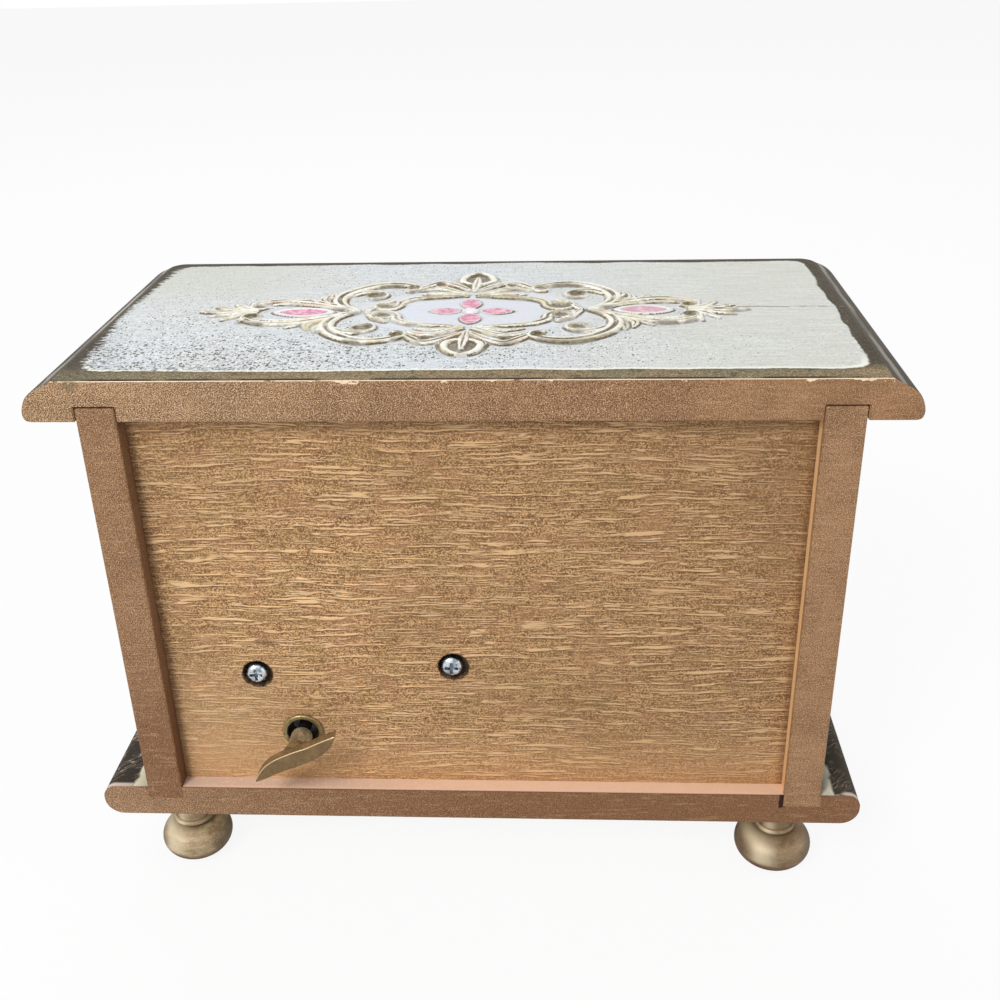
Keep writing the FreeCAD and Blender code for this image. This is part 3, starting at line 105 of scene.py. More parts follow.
world = bpy.data.worlds.new("white_room")
bpy.context.scene.world = world
tree = emptied(world)
path = add(tree, "LightPath").outputs
looked_at = most(path["Is Camera Ray"], most(path["Is Glossy Ray"], path["Is Transmission Ray"]))
soft_light = add(tree, "Background", {"Color": (0.97, 0.985, 1.0, 1), "Strength": 0.46})
white_wall = add(tree, "Background", {"Color": (1, 1, 1, 1), "Strength": 1.0})
mixed = add(tree, "MixShader", {0: looked_at, 1: soft_light.outputs[0], 2: white_wall.outputs[0]})
tree.links.new(mixed.outputs[0], add(tree, "OutputWorld").inputs["Surface"])

for name, spot, width, power in (("window_lamp", (0.45, 0.80, 0.84), 0.42, 8.2),
                                 ("front_lamp", (0.25, -0.80, 1.0), 0.6, 4.6),
                                 ("side_lamp", (-0.95, 0.15, 0.35), 0.5, 2.2)):
    light = bpy.data.lights.new(name, "AREA")
    light.shape = "DISK"
    light.size = width
    light.energy = power
    lamp = new_object(name, light)
    lamp.location = spot
    box_middle = Vector((0, 0, 0.07))
    lamp.rotation_euler = (box_middle - Vector(spot)).to_track_quat("-Z", "Y").to_euler()

lens = bpy.data.cameras.new("camera")
lens.lens = 42.827
lens.sensor_width = 36.0
lens.clip_start = 0.01
camera = new_object("camera", lens)
pitch, yaw, roll = math.radians(26.50590), math.radians(-3.29418), math.radians(-1.42037)
ahead = Vector((-math.sin(yaw) * math.cos(pitch), -math.cos(yaw) * math.cos(pitch), -math.sin(pitch)))
level = Vector((-math.cos(yaw), math.sin(yaw), 0))
upright = level.cross(ahead)
across = math.cos(roll) * level + math.sin(roll) * upright
upward = math.cos(roll) * upright - math.sin(roll) * level
turn = Matrix((across, upward, -ahead)).transposed()
camera.matrix_world = Matrix.Translation((-0.01878, 0.25682, 0.20822)) @ turn.to_4x4()
bpy.context.scene.camera = camera
bpy.context.scene.view_settings.view_transform = "Standard"


# ---- Base board ----
# A poplar board with a rounded edge on three sides, grooved for the side panels.
# Its back edge is brushed with copper paint, its top is cream, and the rounded
# edge is rubbed with dark wax that has worn through in scratches on its top.
def tone(red, green, blue):
    """A colour as a screen shows it, 0 to 255, made linear."""
    parts = [part / 255 for part in (red, green, blue)]
    return (*[p / 12.92 if p <= 0.04045 else ((p + 0.055) / 1.055) ** 2.4 for p in parts], 1)


def new_material(name, **constants):
    """A material with one Principled shader; constants go on its own sockets."""
    material = bpy.data.materials.new(name)
    tree = emptied(material)
    shader = add(tree, "BsdfPrincipled")
    for socket, value in constants.items():
        shader.inputs[socket.replace("_", " ")].default_value = value
    tree.links.new(shader.outputs[0], add(tree, "OutputMaterial").inputs["Surface"])
    return material, shader, add(tree, "TexCoord").outputs["Object"]


def parts_of(place):
    return list(add(place.id_data, "SeparateXYZ", {0: place}).outputs)


def point(*parts):
    return add(tree_of(parts), "CombineXYZ", enumerate(parts)).outputs[0]


def stretched(place, *scale):
    return add(place.id_data, "VectorMath", {0: place, 1: scale}, operation="MULTIPLY").outputs[0]


def distance(place, centre):
    return add(place.id_data, "VectorMath", {0: place, 1: centre}, operation="DISTANCE").outputs["Value"]


def speckle(place, scale, detail=2.0, rough=0.5, warp=0.0):
    """Smooth noise, about 0.3 to 0.7."""
    return add(place.id_data, "TexNoise", {"Vector": place, "Scale": scale, "Detail": detail,
                                           "Roughness": rough, "Distortion": warp}).outputs["Fac"]


def streaks(place, scale, *noise):
    """Noise drawn out by a scale for each axis."""
    return speckle(stretched(place, *scale), 1, *noise)


def rise(value, low, high):
    """0 below low and 1 above high, or the other way round if low is the larger."""
    return add(value.id_data, "MapRange", {"Value": value, "From Min": low, "From Max": high},
               interpolation_type="SMOOTHSTEP").outputs[0]


def blend(share, low, high):
    """From one colour to another; each is a socket or a colour as a screen shows it."""
    low, high = (tone(*colour) if isinstance(colour, tuple) else colour for colour in (low, high))
    return add(tree_of((share, low, high)), "Mix", {0: share, 6: low, 7: high}, data_type="RGBA").outputs[2]


def tint(base, colour, share, strength=1):
    """The base with a colour laid over a share of it."""
    return blend(share if strength == 1 else times(share, strength), base, colour)


def tint_coat(coat, colour, share, strength=1):
    coat["Colour"] = tint(coat["Colour"], colour, share, strength)


def new_group(name, *numbers):
    """A shared finish: the group, its outputs, the place it gets and its numbers."""
    tree = bpy.data.node_groups.new(name, "ShaderNodeTree")
    wanted = [("INPUT", "Place", "Vector"), *[("INPUT", label, "Float") for label in numbers],
              ("OUTPUT", "Colour", "Color"), ("OUTPUT", "Roughness", "Float"),
              ("OUTPUT", "Height", "Float")]
    for way, label, kind in wanted:
        tree.interface.new_socket(label, in_out=way, socket_type="NodeSocket" + kind)
    given = tree.nodes.new("NodeGroupInput").outputs
    made = tree.nodes.new("NodeGroupOutput").inputs
    return tree, made, given["Place"], *[given[label] for label in numbers]


def hand_out(made, *finish):
    """Links a group's colour, roughness and height to its outputs."""
    for socket, value in zip(made, finish):
        value.id_data.links.new(value, socket)


def use(group, **links):
    """A shared finish at work: its colour, roughness and height."""
    node = add(tree_of(links.values()), "Group", links, node_tree=group)
    return {socket.name: socket for socket in node.outputs}


def finish_paint(shader, colour, roughness, height, relief, depth):
    """Puts a finish on the shader, with the bump that its height gives."""
    tree = shader.id_data
    bump = add(tree, "Bump", {"Strength": relief, "Distance": depth, "Height": height})
    for name, value in (("Base Color", colour), ("Roughness", roughness), ("Normal", bump.outputs[0])):
        tree.links.new(value, shader.inputs[name])


def finish_coat(shader, coat, relief, depth):
    finish_paint(shader, coat["Colour"], coat["Roughness"], coat["Height"], relief, depth)


def mix_finishes(share, under, over):
    """One finish laid over another where share is 1."""
    mixed = {"Colour": blend(share, under["Colour"], over["Colour"])}
    for part in ("Roughness", "Height"):
        mixed[part] = add(share.id_data, "Mix", {0: share, 2: under[part], 3: over[part]}).outputs[0]
    return mixed


copper_paint, made, place, warmth, dark, grain = new_group(
    "flecked_copper_paint", "Warmth", "Dark", "Grain")
patch = speckle(place, 90, 3)
flake = speckle(place, 4600, 2, 0.7)
spark = speckle(place, 4300, 1, 0.5)
fibre = streaks(place, (180, 900, 1900), 3, 0.6)
cool = blend(rise(patch, 0.36, 0.64), (132, 99, 70), (156, 120, 87))
warm = blend(rise(patch, 0.36, 0.64), (134, 95, 62), (157, 114, 79))
body = blend(warmth, cool, warm)
body = tint(body, (118, 78, 47), dark)
body = tint(body, (112, 80, 54), rise(fibre, 0.45, 0.33), 0.45)
body = tint(body, (190, 152, 114), rise(fibre, 0.56, 0.68), 0.4)
low_grain = times(rise(flake, 0.5, 0.38), grain)
body = blend(low_grain, body, blend(dark, (84, 56, 36), (80, 54, 34)))
high_grain = times(rise(flake, 0.5, 0.64), grain)
body = blend(high_grain, body, blend(dark, (226, 190, 146), (182, 137, 94)))
glint = times(grain, times(grain, 0.8))
body = tint(body, (240, 212, 178), times(rise(spark, 0.6, 0.74), glint))
hand_out(made, body, scaled(flake, 0.3, 0.34), plus(flake, times(fibre, 0.5)))

cream_paint, made, place, holes, warmth = new_group("aged_cream_paint", "Holes", "Warmth")
cloud = speckle(place, 45, 3)
brushed = streaks(place, (75, 1400, 1400), 3, 0.6)
cream = blend(warmth, (202, 210, 219), (206, 204, 190))
cream = tint(cream, (208, 210, 204), rise(cloud, 0.4, 0.62), 0.5)
mote = speckle(place, 1900, 2, 0.6)
cream = tint(cream, (172, 172, 162), rise(mote, 0.48, 0.34), 0.25)
cream = tint(cream, (236, 238, 236), rise(mote, 0.54, 0.68), 0.25)
cream = tint(cream, (180, 180, 168), rise(brushed, 0.5, 0.38), 0.26)
cream = tint(cream, (236, 238, 234), rise(brushed, 0.52, 0.64), 0.22)
density = times(holes, rise(cloud, 0.1, 0.5))


def pinholes(stretch, share):
    """Small pits of many sizes: the part near the seeds of a cell pattern."""
    cells = add(cream_paint, "TexVoronoi", {"Vector": stretched(place, *stretch), "Scale": 1.0}).outputs
    luck = add(cream_paint, "SeparateColor", {0: cells["Color"]}).outputs[0]
    reach = times(share, scaled(luck, 0.42, 0.06))
    gap = minus(reach, cells["Distance"])
    return rise(gap, -0.04, 0.04), rise(gap, -0.22, -0.06)


large_hole, halo = pinholes((1120, 950, 950), density)
small_hole = pinholes((1900, 1500, 1500), density)[0]
hole = most(large_hole, times(small_hole, 0.8))
hole = times(hole, rise(speckle(place, 2600, 1), 0.3, 0.44))
craze = streaks(place, (1000, 1300, 1300), 2, 0.6, 0.3)
cream = tint(cream, (158, 156, 146), times(times(rise(craze, 0.42, 0.32), 0.6), density))
cream = tint(cream, (238, 240, 240), times(rise(craze, 0.58, 0.68), density))
cream = tint(cream, (244, 246, 246), times(halo, density), 0.5)
cream = tint(cream, (58, 56, 52), hole, 0.95)
hand_out(made, cream, scaled(cloud, 0.25, 0.38), minus(times(brushed, 0.5), times(hole, 0.8)))

dark_wax, made, place, light = new_group("rubbed_dark_wax", "Light")
streak = streaks(place, (420, 420, 420), 4, 0.6, 0.4)
smear = speckle(place, 60, 2)
grit = speckle(place, 2400, 2, 0.65)
wax = blend(light, (52, 47, 40), (142, 122, 90))
wax = blend(rise(smear, 0.42, 0.6), wax, blend(light, (66, 59, 49), (126, 116, 88)))
wax = tint(wax, (44, 38, 30), rise(streak, 0.44, 0.34), 0.6)
wax = tint(wax, (150, 134, 108), rise(streak, 0.58, 0.7), 0.3)
wax = tint(wax, (56, 46, 32), rise(grit, 0.48, 0.36), 0.7)
flecked = times(rise(grit, 0.56, 0.68), scaled(light, 0.55, 0.12))
wax = tint(wax, (196, 180, 146), flecked)
hand_out(made, wax, scaled(streak, 0.3, 0.42), streak)


def built(work, name, sharp=None):
    """Turns the faces outwards and ends the edit in a mesh, smooth up to a sharp angle."""
    bmesh.ops.recalc_face_normals(work, faces=work.faces)
    mesh = bpy.data.meshes.new(name)
    work.to_mesh(mesh)
    work.free()
    if sharp:
        mesh.shade_smooth()
        mesh.set_sharp_from_angle(angle=math.radians(sharp))
    return mesh


def dressed(mesh, *finishes):
    mesh.materials.clear()
    for finish in finishes:
        mesh.materials.append(finish)
    return mesh


def ease(name, source, width, segments=2, sharp=35, keep=lambda middle: False, rubbed=-1):
    """A copy of a mesh with its hard edges eased, as sanding leaves them."""
    work = bmesh.new()
    work.from_mesh(source)
    bmesh.ops.remove_doubles(work, verts=work.verts, dist=2e-6)
    bmesh.ops.dissolve_limit(work, angle_limit=math.radians(0.3), verts=work.verts, edges=work.edges)
    hard = [edge for edge in work.edges if edge.is_manifold and edge.calc_face_angle() > math.radians(sharp)
            and not keep((edge.verts[0].co + edge.verts[1].co) / 2)]
    bmesh.ops.bevel(work, geom=hard, offset=width, segments=segments, profile=0.5, affect="EDGES",
                    clamp_overlap=True, material=rubbed)
    bmesh.ops.triangulate(work, faces=[face for face in work.faces if len(face.verts) > 4])
    return built(work, name + "_eased", sharp)


def eased_copy(name, width, *finishes, **options):
    """A CAD node's mesh with its hard edges eased and its finishes on."""
    return dressed(ease(name, nodes[name].data, width, **options), *finishes)


def settle(name, mesh, body, node):
    """Makes the piece that shows a CAD node, and ties it to its body."""
    thing = new_object(name, mesh)
    even = thing.modifiers.new("even_shading", "WEIGHTED_NORMAL")
    even.keep_sharp = True
    graph = bpy.context.evaluated_depsgraph_get()
    ready = bpy.data.meshes.new_from_object(thing.evaluated_get(graph), preserve_all_data_layers=True,
                                            depsgraph=graph)
    thing.modifiers.clear()
    old, thing.data = thing.data, ready
    ready.name = thing.name
    bpy.data.meshes.remove(old)
    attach(thing, body)
    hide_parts(node)
    return thing


back_y = 0.04285
panel_face = 0.03865
base_top = 0.0263
base_end = 0.0874
base_front = -0.04835

base_paint, shader, place = new_material("base_paint", Specular_IOR_Level=0.3)
x, y, z = parts_of(place)
from_end = minus(base_end, absolute(x))
from_front = minus(y, base_front)
from_edge = soft_min(from_end, from_front, 0.004)
wider_cream = times(rise(x, 0.0, 0.05), rise(y, 0.03, 0.042))
from_edge = scaled(wider_cream, 0.0013, from_edge)
wander = scaled(speckle(place, 140, 3), 0.006, -0.003)
waxed = rise(plus(from_edge, wander), 0.007, 0.0062)
cream = use(cream_paint, Place=place, Holes=0.4, Warmth=0.8)
cream_tone = tint(cream["Colour"], (232, 220, 190), 0.55)
cream_tone = tint(cream_tone, (240, 228, 200), rise(x, -0.05, 0.07))
cream["Colour"] = cream_tone
wax = use(dark_wax, Place=place, Light=0.12)
coat = mix_finishes(waxed, cream, wax)
brown = blend(rise(x, -0.05, 0.05), (44, 38, 26), (34, 24, 18))
coat["Colour"] = blend(times(waxed, 0.75), coat["Colour"], brown)
coat["Roughness"] = scaled(waxed, 0.22, coat["Roughness"])
slanted = point(plus(x, y), minus(x, y), z)
scratch = streaks(slanted, (110, 1300, 300), 1)
off_scratch = absolute(minus(scratch, 0.5))
on_left = rise(x, -0.03, 0.03)
scratch_gate = rise(scaled(on_left, 0.07, streaks(place, (240, 160, 240), 2)), 0.46, 0.56)
scratched = times(rise(off_scratch, 0.034, 0.008), scratch_gate)
scratched = times(scratched, times(waxed, rise(y, -0.04, -0.034)))
scratched = times(scratched, scaled(on_left, 0.45, 0.25))
tint_coat(coat, (206, 184, 166), scratched)
# Painted highlight: a light line along the top of the base's rounded back edge.
back_edge_highlight = times(rise(y, back_y - 0.002, back_y - 0.0012), waxed)
back_edge_highlight = times(back_edge_highlight, rise(speckle(place, 260, 3), 0.4, 0.52))
tint_coat(coat, (228, 206, 194), back_edge_highlight, 0.8)
strip = rise(y, panel_face - 0.0008, panel_face - 0.0002)
inside = times(strip, rise(absolute(x), 0.0705, 0.0695))
blush = blend(rise(x, 0.05, 0.0), (212, 186, 168), (240, 204, 174))
blush = tint(blush, (222, 178, 146), speckle(place, 240, 3), 0.4)
blush = tint(blush, (238, 208, 188), rise(speckle(place, 1100, 2), 0.52, 0.68), 0.5)
# Painted highlight: a lighter line along the strip's back edge.
blush = tint(blush, (238, 204, 186), rise(y, back_y - 0.0016, back_y - 0.0008), 0.7)
coat["Colour"] = blend(inside, coat["Colour"], blush)
base_warmth = rise(x, 0.12, 0.0)
copper = use(copper_paint, Place=place, Warmth=base_warmth,
             Grain=scaled(rise(x, -0.04, 0.05), 0.25, 0.58), Dark=scaled(base_warmth, 0.85, 0.1))
brushed_back = rise(y, back_y - 0.0007, back_y - 0.0003)
coat = mix_finishes(brushed_back, coat, copper)
joint_across = absolute(scaled(x, 1 / 0.0007, 0.069 / 0.0007))
joint_up = absolute(scaled(z, 1 / 0.0018, -0.0247 / 0.0018))
open_joint = most(joint_across, joint_up)
gap_dirt = scaled(speckle(place, 900, 2), 0.8, -0.4)
joint_hole = times(rise(plus(open_joint, gap_dirt), 1.1, 0.8), brushed_back)
tint_coat(coat, (50, 26, 14), joint_hole)
coat["Roughness"] = most(coat["Roughness"], joint_hole)
finish_coat(shader, coat, 0.6, 0.00012)


def at_side_joint(middle):
    """The edges of the base board's grooves, which the side panels fill."""
    return 0.0690 < abs(middle.x) < 0.0779 and 0.0230 < middle.z < 0.0268


base_mesh = eased_copy("base_board", 0.00035, base_paint, keep=at_side_joint)
for corner in base_mesh.vertices:
    if abs(corner.co.x) > 0.0785:
        corner.co.x += 0.0008
for face in base_mesh.polygons:
    if abs(face.normal.y) > 0.999:
        face.use_smooth = False
settle("base_board_painted", base_mesh, "case", "base_board")


# ---- Turned feet ----
# Four beech feet turned on a lathe, each with a bun, a bead and a hollow neck,
# and glued into the base board by a dowel. Gold paint, rubbed brown at the bottom.
# Painted shade lies in the creases by the bead, on the downward faces and at both
# outlines, and a painted highlight on the side toward the lamp.
def turned(name, profile, centre, axis="Z", segments=96):
    """A lathe shape: (radius, height) points from the axis to the axis, or a closed ring."""
    work = bmesh.new()
    angles = [2 * math.pi * k / segments for k in range(segments)]
    rings = [[work.verts.new((radius * math.cos(a), radius * math.sin(a), height))
              for a in (angles if radius > 1e-7 else angles[:1])] for radius, height in profile]
    if profile[0][0] > 1e-7:
        rings.append(rings[0])
    for low, high in zip(rings, rings[1:]):
        for k in range(segments):
            corners = dict.fromkeys([low[k % len(low)], low[(k + 1) % len(low)],
                                     high[(k + 1) % len(high)], high[k % len(high)]])
            if len(corners) > 2:
                work.faces.new(corners)
    lean = math.radians({"Z": 0, "Y": -90, "-Y": 90}[axis])
    bmesh.ops.rotate(work, verts=work.verts, matrix=Matrix.Rotation(lean, 3, "X"))
    bmesh.ops.translate(work, verts=work.verts, vec=centre)
    return built(work, name, 40)


def bow(middle, radius, start, end, count=12):
    """Points on an arc, by its middle and its angles in degrees."""
    angles = [math.radians(start + (end - start) * k / count) for k in range(count + 1)]
    return [(middle[0] + radius * math.cos(a), middle[1] + radius * math.sin(a)) for a in angles]


gilded_foot, shader, place = new_material("gilded_foot", Metallic=0.25, Specular_IOR_Level=0.4)
x, y, z = parts_of(place)
turning = streaks(place, (260, 260, 1500), 3, 0.6)
patch = speckle(place, 220, 3, 0.6)
fleck = speckle(place, 3600, 2, 0.6)
gilt = blend(rise(turning, 0.3, 0.7), (150, 128, 98), (180, 160, 126))
gilt = tint(gilt, (126, 98, 70), rise(patch, 0.54, 0.36), 0.8)
gilt = tint(gilt, (236, 216, 176), rise(fleck, 0.54, 0.68), 0.4)
low_wear = plus(z, scaled(patch, 0.006, -0.003))
gilt = tint(gilt, (124, 80, 48), rise(low_wear, 0.0042, 0.0012))
# Painted shade in the crease at the foot of the bead.
grooved = times(rise(z, 0.009, 0.0096), rise(z, 0.0104, 0.0099))
gilt = tint(gilt, (100, 76, 50), grooved, 0.35)
# Painted shade in the crease just above the bead.
bead_crease_shade = times(rise(z, 0.011, 0.0115), rise(z, 0.0124, 0.0116))
gilt = tint(gilt, (110, 80, 54), bead_crease_shade, 0.3)
gilt = tint(gilt, (104, 78, 50), rise(x, 0.02, -0.02), 0.54)
# Painted shade on the downward faces and on the faces at both outlines.
facing = parts_of(add(shader.id_data, "NewGeometry").outputs["Normal"])
gilt = tint(gilt, (96, 58, 36), rise(facing[2], -0.1, -0.7), 0.85)
gilt = tint(gilt, (80, 72, 58), rise(facing[0], -0.5, -0.95), 0.65)
gilt = tint(gilt, (76, 62, 44), rise(facing[0], 0.7, 1.0), 0.55)
# Painted highlight on the side toward the lamp.
lit = times(rise(facing[0], -0.1, 0.45), rise(facing[0], 0.85, 0.45))
lit = times(lit, rise(facing[2], -0.35, 0.0))
gilt = tint(gilt, (248, 232, 198), lit, 0.55)
finish_paint(shader, gilt, scaled(fleck, 0.25, 0.4), patch, 0.3, 0.00012)


def foot_profile(bun):
    """The lathe profile of a foot whose bun has that radius."""
    core, flatness = bun - 0.0053, 0.9
    profile = [(0, 0), (core, 0)]
    profile += [(r, z * flatness) for r, z in bow((core, 0.0053), 0.0053, -80, 90, 26)]
    profile += [(0.0043, 0.0096), (0.0043, 0.0099)]
    profile += bow((0.00435, 0.01065), 0.00072, -90, 90, 10)
    return profile + [(0.0043, 0.0116), (0.0043, 0.0128), (0.00442, 0.0142), (0.0047, 0.0156),
                      (0.00512, 0.0168), (0.00565, 0.0178), (0.0062, 0.0186), (0, 0.0186)]


for name, foot_x, foot_y, bun in (("foot_front_left", -0.0708, -0.03175, 0.0087),
                                  ("foot_front_right", 0.0708, -0.03175, 0.0088),
                                  ("foot_back_left", -0.0698, 0.0328, 0.0090),
                                  ("foot_back_right", 0.0712, 0.0328, 0.0084)):
    foot = dressed(turned(name, foot_profile(bun), (foot_x, foot_y, 0)), gilded_foot)
    settle(name + "_turned", foot, "case", name)


# ---- Side panels ----
# Two boards glued into grooves of the base and the top. Their back edges and the
# strips beside the back panel are copper, with painted shade on the strip at positive x
# and painted light on the strip at negative x; the outsides are cream with waxed edges.
def shades(value, *stops):
    """A colour ramp from (position, colour) stops."""
    node = add(value.id_data, "ValToRGB", {0: value})
    ramp = node.color_ramp
    while len(ramp.elements) < len(stops):
        ramp.elements.new(0.5)
    for element, (position, colour) in zip(ramp.elements, stops):
        element.position = position
        element.color = tone(*colour)
    return node.outputs[0]


bare_wood, made, place = new_group("bare_wood")
ring = speckle(place, 1, 4, 0.6, 0.5)
pore = speckle(place, 5, 2, 0.6)
wood = shades(ring, (0.34, (150, 112, 72)), (0.48, (188, 150, 104)), (0.56, (202, 166, 120)),
              (0.68, (172, 132, 88)))
wood = tint(wood, (120, 84, 50), rise(pore, 0.44, 0.34), 0.5)
hand_out(made, wood, scaled(ring, 0.3, 0.5), plus(ring, pore))

side_front = -0.03845
lid_bottom = 0.1184
side_paint, shader, place = new_material("side_paint", Specular_IOR_Level=0.3)
x, y, z = parts_of(place)
away = absolute(x)
cream = use(cream_paint, Place=place, Holes=0.55, Warmth=0.6)
wax = use(dark_wax, Place=place, Light=0.25)
wander = scaled(speckle(place, 60, 5, 0.65), 0.005, -0.0025)
to_top = minus(lid_bottom, z)
to_base = minus(z, base_top)
to_front = minus(y, side_front)
to_back = minus(back_y, y)
rim = soft_min(soft_min(to_top, to_base, 0.005), soft_min(to_front, to_back, 0.005), 0.005)
waxed = rise(plus(rim, wander), 0.0038, 0.003)
painted = mix_finishes(waxed, cream, wax)
wood = use(bare_wood, Place=stretched(place, 500, 500, 40))
hidden = times(rise(away, 0.0703, 0.0698), rise(y, panel_face, panel_face - 0.0004))
coat = mix_finishes(hidden, painted, wood)
on_left = rise(x, -0.02, 0.02)
# Darker towards the bottom on the positive x side.
low_down = times(rise(z, 0.07, 0.03), times(on_left, 0.75))
copper = use(copper_paint, Place=place, Warmth=scaled(on_left, 0.15, 0.85),
             Grain=scaled(on_left, 0.2, 0.55), Dark=scaled(on_left, 0.37, plus(low_down, 0.08)))
# Painted shade on the recess strip at positive x and painted light on the one at negative x.
recess_light_share = scaled(low_down, 0.35, scaled(rise(x, 0.02, -0.02), 0.25, 0.6))
deep = blend(rise(x, 0.02, -0.02), (100, 66, 42), (250, 202, 144))
recess_lit_and_shaded = {**copper, "Colour": blend(recess_light_share, copper["Colour"], deep)}
rolled_over = times(rise(x, 0.01, -0.01), rise(y, back_y - 0.0017, back_y - 0.0012))
recess = times(rise(away, 0.0701, 0.0697), rise(y, panel_face - 0.0004, panel_face))
recess = minus(recess, rolled_over, clamp=True)
coat = mix_finishes(recess, coat, recess_lit_and_shaded)
brushed_back = rise(plus(y, times(wander, 0.2)), back_y - 0.0007, back_y - 0.0003)
brushed_back = most(brushed_back, rolled_over)
coat = mix_finishes(brushed_back, coat, copper)
# Painted highlight along the inner back edge of the panel at negative x.
inner_edge_highlight = times(rise(to_back, 0.0021, 0.0017), rise(to_back, 0.0012, 0.0015))
inner_edge_highlight = times(inner_edge_highlight, rise(away, 0.07, 0.0696))
inner_edge_highlight = times(inner_edge_highlight, rise(speckle(place, 110, 3), 0.36, 0.5))
tint_coat(coat, (216, 174, 130), times(inner_edge_highlight, rise(x, 0.01, -0.01)))
finish_coat(shader, coat, 0.6, 0.00012)
for name in ("side_panel_left", "side_panel_right"):
    mesh = eased_copy(name, 0.0004, side_paint, keep=at_side_joint)
    work = bmesh.new()
    work.from_mesh(mesh)
    for height in (base_top - 0.00005, base_top + 0.0003):
        bmesh.ops.bisect_plane(work, geom=[*work.verts, *work.edges, *work.faces], dist=1e-6,
                               plane_co=(0, 0, height), plane_no=(0, 0, 1))
    for corner in work.verts:
        if corner.co.z < base_top:
            corner.co.x = math.copysign(0.07762 if abs(corner.co.x) > 0.0735 else 0.06928, corner.co.x)
            if corner.co.y > back_y - 0.0006:
                corner.co.y = back_y
    bmesh.ops.remove_doubles(work, verts=work.verts, dist=2e-6)
    bmesh.ops.dissolve_degenerate(work, dist=2e-6, edges=work.edges)
    bmesh.ops.recalc_face_normals(work, faces=work.faces)
    work.to_mesh(mesh)
    work.free()
    mesh.set_sharp_from_angle(angle=math.radians(20))
    for face in mesh.polygons:
        face.use_smooth = abs(face.normal.y) < 0.999 and face.center.z > base_top
    settle(name + "_painted", mesh, "case", name)


# ---- Back panel ----
# Thin plywood let in between the sides and painted gold. The brush has left the
# open grain standing up in short ridges, with a painted highlight along each and a
# painted shadow under it. Two wells take the movement's screws. Painted shade darkens
# the wells, the top under the top board and the ends beside the sides.
screw_places = ((0.0491, 0.0556), (0.0050, 0.0579))
gold_panel, shader, place = new_material("gold_painted_plywood", Metallic=0.2, Specular_IOR_Level=0.3)
x, y, z = parts_of(place)
sway = scaled(streaks(place, (16, 1, 40), 2), 0.006, -0.003)
jitter = scaled(streaks(place, (260, 1, 500), 2), 0.0008, -0.0004)
grain_height = plus(plus(z, sway), jitter)


def grain_lines(drop, along, apart, thin):
    """Long thin lines along the grain for the ridges' painted highlight; moved down by drop, they draw the
    ridges' painted shadow.
    """
    wavy = point(x, y, plus(grain_height, drop))
    ridge = streaks(wavy, (along, 300, apart), 1, 0.45)
    broken = streaks(wavy, (2.6 * along, 300, 0.35 * apart), 2, 0.6)
    return times(rise(ridge, thin, thin + 0.07), rise(broken, 0.42, 0.54))


def both_grains(drop):
    return most(grain_lines(drop, 75, 2100, 0.555), times(grain_lines(drop, 130, 3300, 0.565), 0.8))


# Painted highlight along the grain's ridges and painted shadow just under them.
ridge_highlight = both_grains(0.0)
ridge_shadow = both_grains(0.00028)
wavy_place = point(x, y, grain_height)
long_grain = streaks(wavy_place, (170, 300, 3000), 1, 0.6)
sand = streaks(place, (3300, 3300, 3900), 1)
fleck = scaled(long_grain, 0.5, scaled(sand, 1.4, -0.45))
patch = speckle(place, 22, 2)
hue = streaks(place, (90, 1, 160), 2)
streak = streaks(place, (36, 1, 420), 3, 0.6)
gold = shades(fleck, (0.3, (112, 77, 46)), (0.5, (166, 127, 86)), (0.7, (230, 186, 134)))
gold = tint(gold, (126, 92, 58), rise(streak, 0.5, 0.36), 0.25)
gold = tint(gold, (186, 138, 100), rise(hue, 0.5, 0.62), 0.35)
gold = tint(gold, (160, 134, 82), rise(hue, 0.5, 0.38), 0.25)
gold = tint(gold, (98, 64, 38), ridge_shadow, 0.55)
gold = tint(gold, (250, 208, 156), ridge_highlight, 0.85)
gold = tint(gold, (142, 110, 74), rise(patch, 0.52, 0.34), 0.2)
# Darker towards the right, partly the paint's own tone and partly painted shade; darker towards the top,
# lighter low down and low on the left.
low_left = times(rise(x, 0.02, 0.06), rise(z, 0.07, 0.035))
gold = tint(gold, (214, 174, 128), low_left, 0.35)
to_right = rise(x, 0.05, -0.06)
gold = tint(gold, (112, 80, 50), to_right, 0.28)
to_top = rise(z, 0.075, 0.115)
gold = tint(gold, (112, 80, 50), to_top, 0.14)
gold = tint(gold, (224, 174, 124), rise(z, 0.046, 0.027), 0.3)
smudge = distance(stretched(place, 0.35, 0, 1), (0.0161, 0, 0.064))
gold = tint(gold, (96, 66, 42), rise(smudge, 0.0013, 0.0004), 0.5)
# Painted shadow along the top of the panel, under the top board.
lid_shadow_line = plus(z, scaled(patch, 0.0012, -0.0006))
gold = tint(gold, (70, 48, 30), rise(lid_shadow_line, 0.116, 0.118), 0.75)
# Painted shade beside the side panels.
side_panel_shadow = rise(absolute(x), 0.0675, 0.069)
gold = tint(gold, (92, 62, 38), side_panel_shadow, 0.45)
ridges = plus(times(ridge_highlight, 0.9), times(fleck, 0.5))
flat_place = stretched(place, 1, 0, 1)
# Painted shade in the screw wells.
well = least(*[distance(flat_place, (screw_x, 0, screw_z)) for screw_x, screw_z in screw_places])
well_shade_wobble = scaled(fleck, 0.0005, -0.00025)
well_shade = rise(plus(well, well_shade_wobble), 0.00375, 0.00335)
gold = tint(gold, (50, 37, 28), well_shade, 0.93)
finish_paint(shader, gold, scaled(fleck, 0.3, 0.34), ridges, 0.8, 0.00016)
mesh = eased_copy("back_panel", 0.00018, gold_panel)
for corner in mesh.vertices:
    if abs(corner.co.x) > 0.0685:
        corner.co.x += math.copysign(0.00028, corner.co.x)
settle("back_panel_painted", mesh, "case", "back_panel")


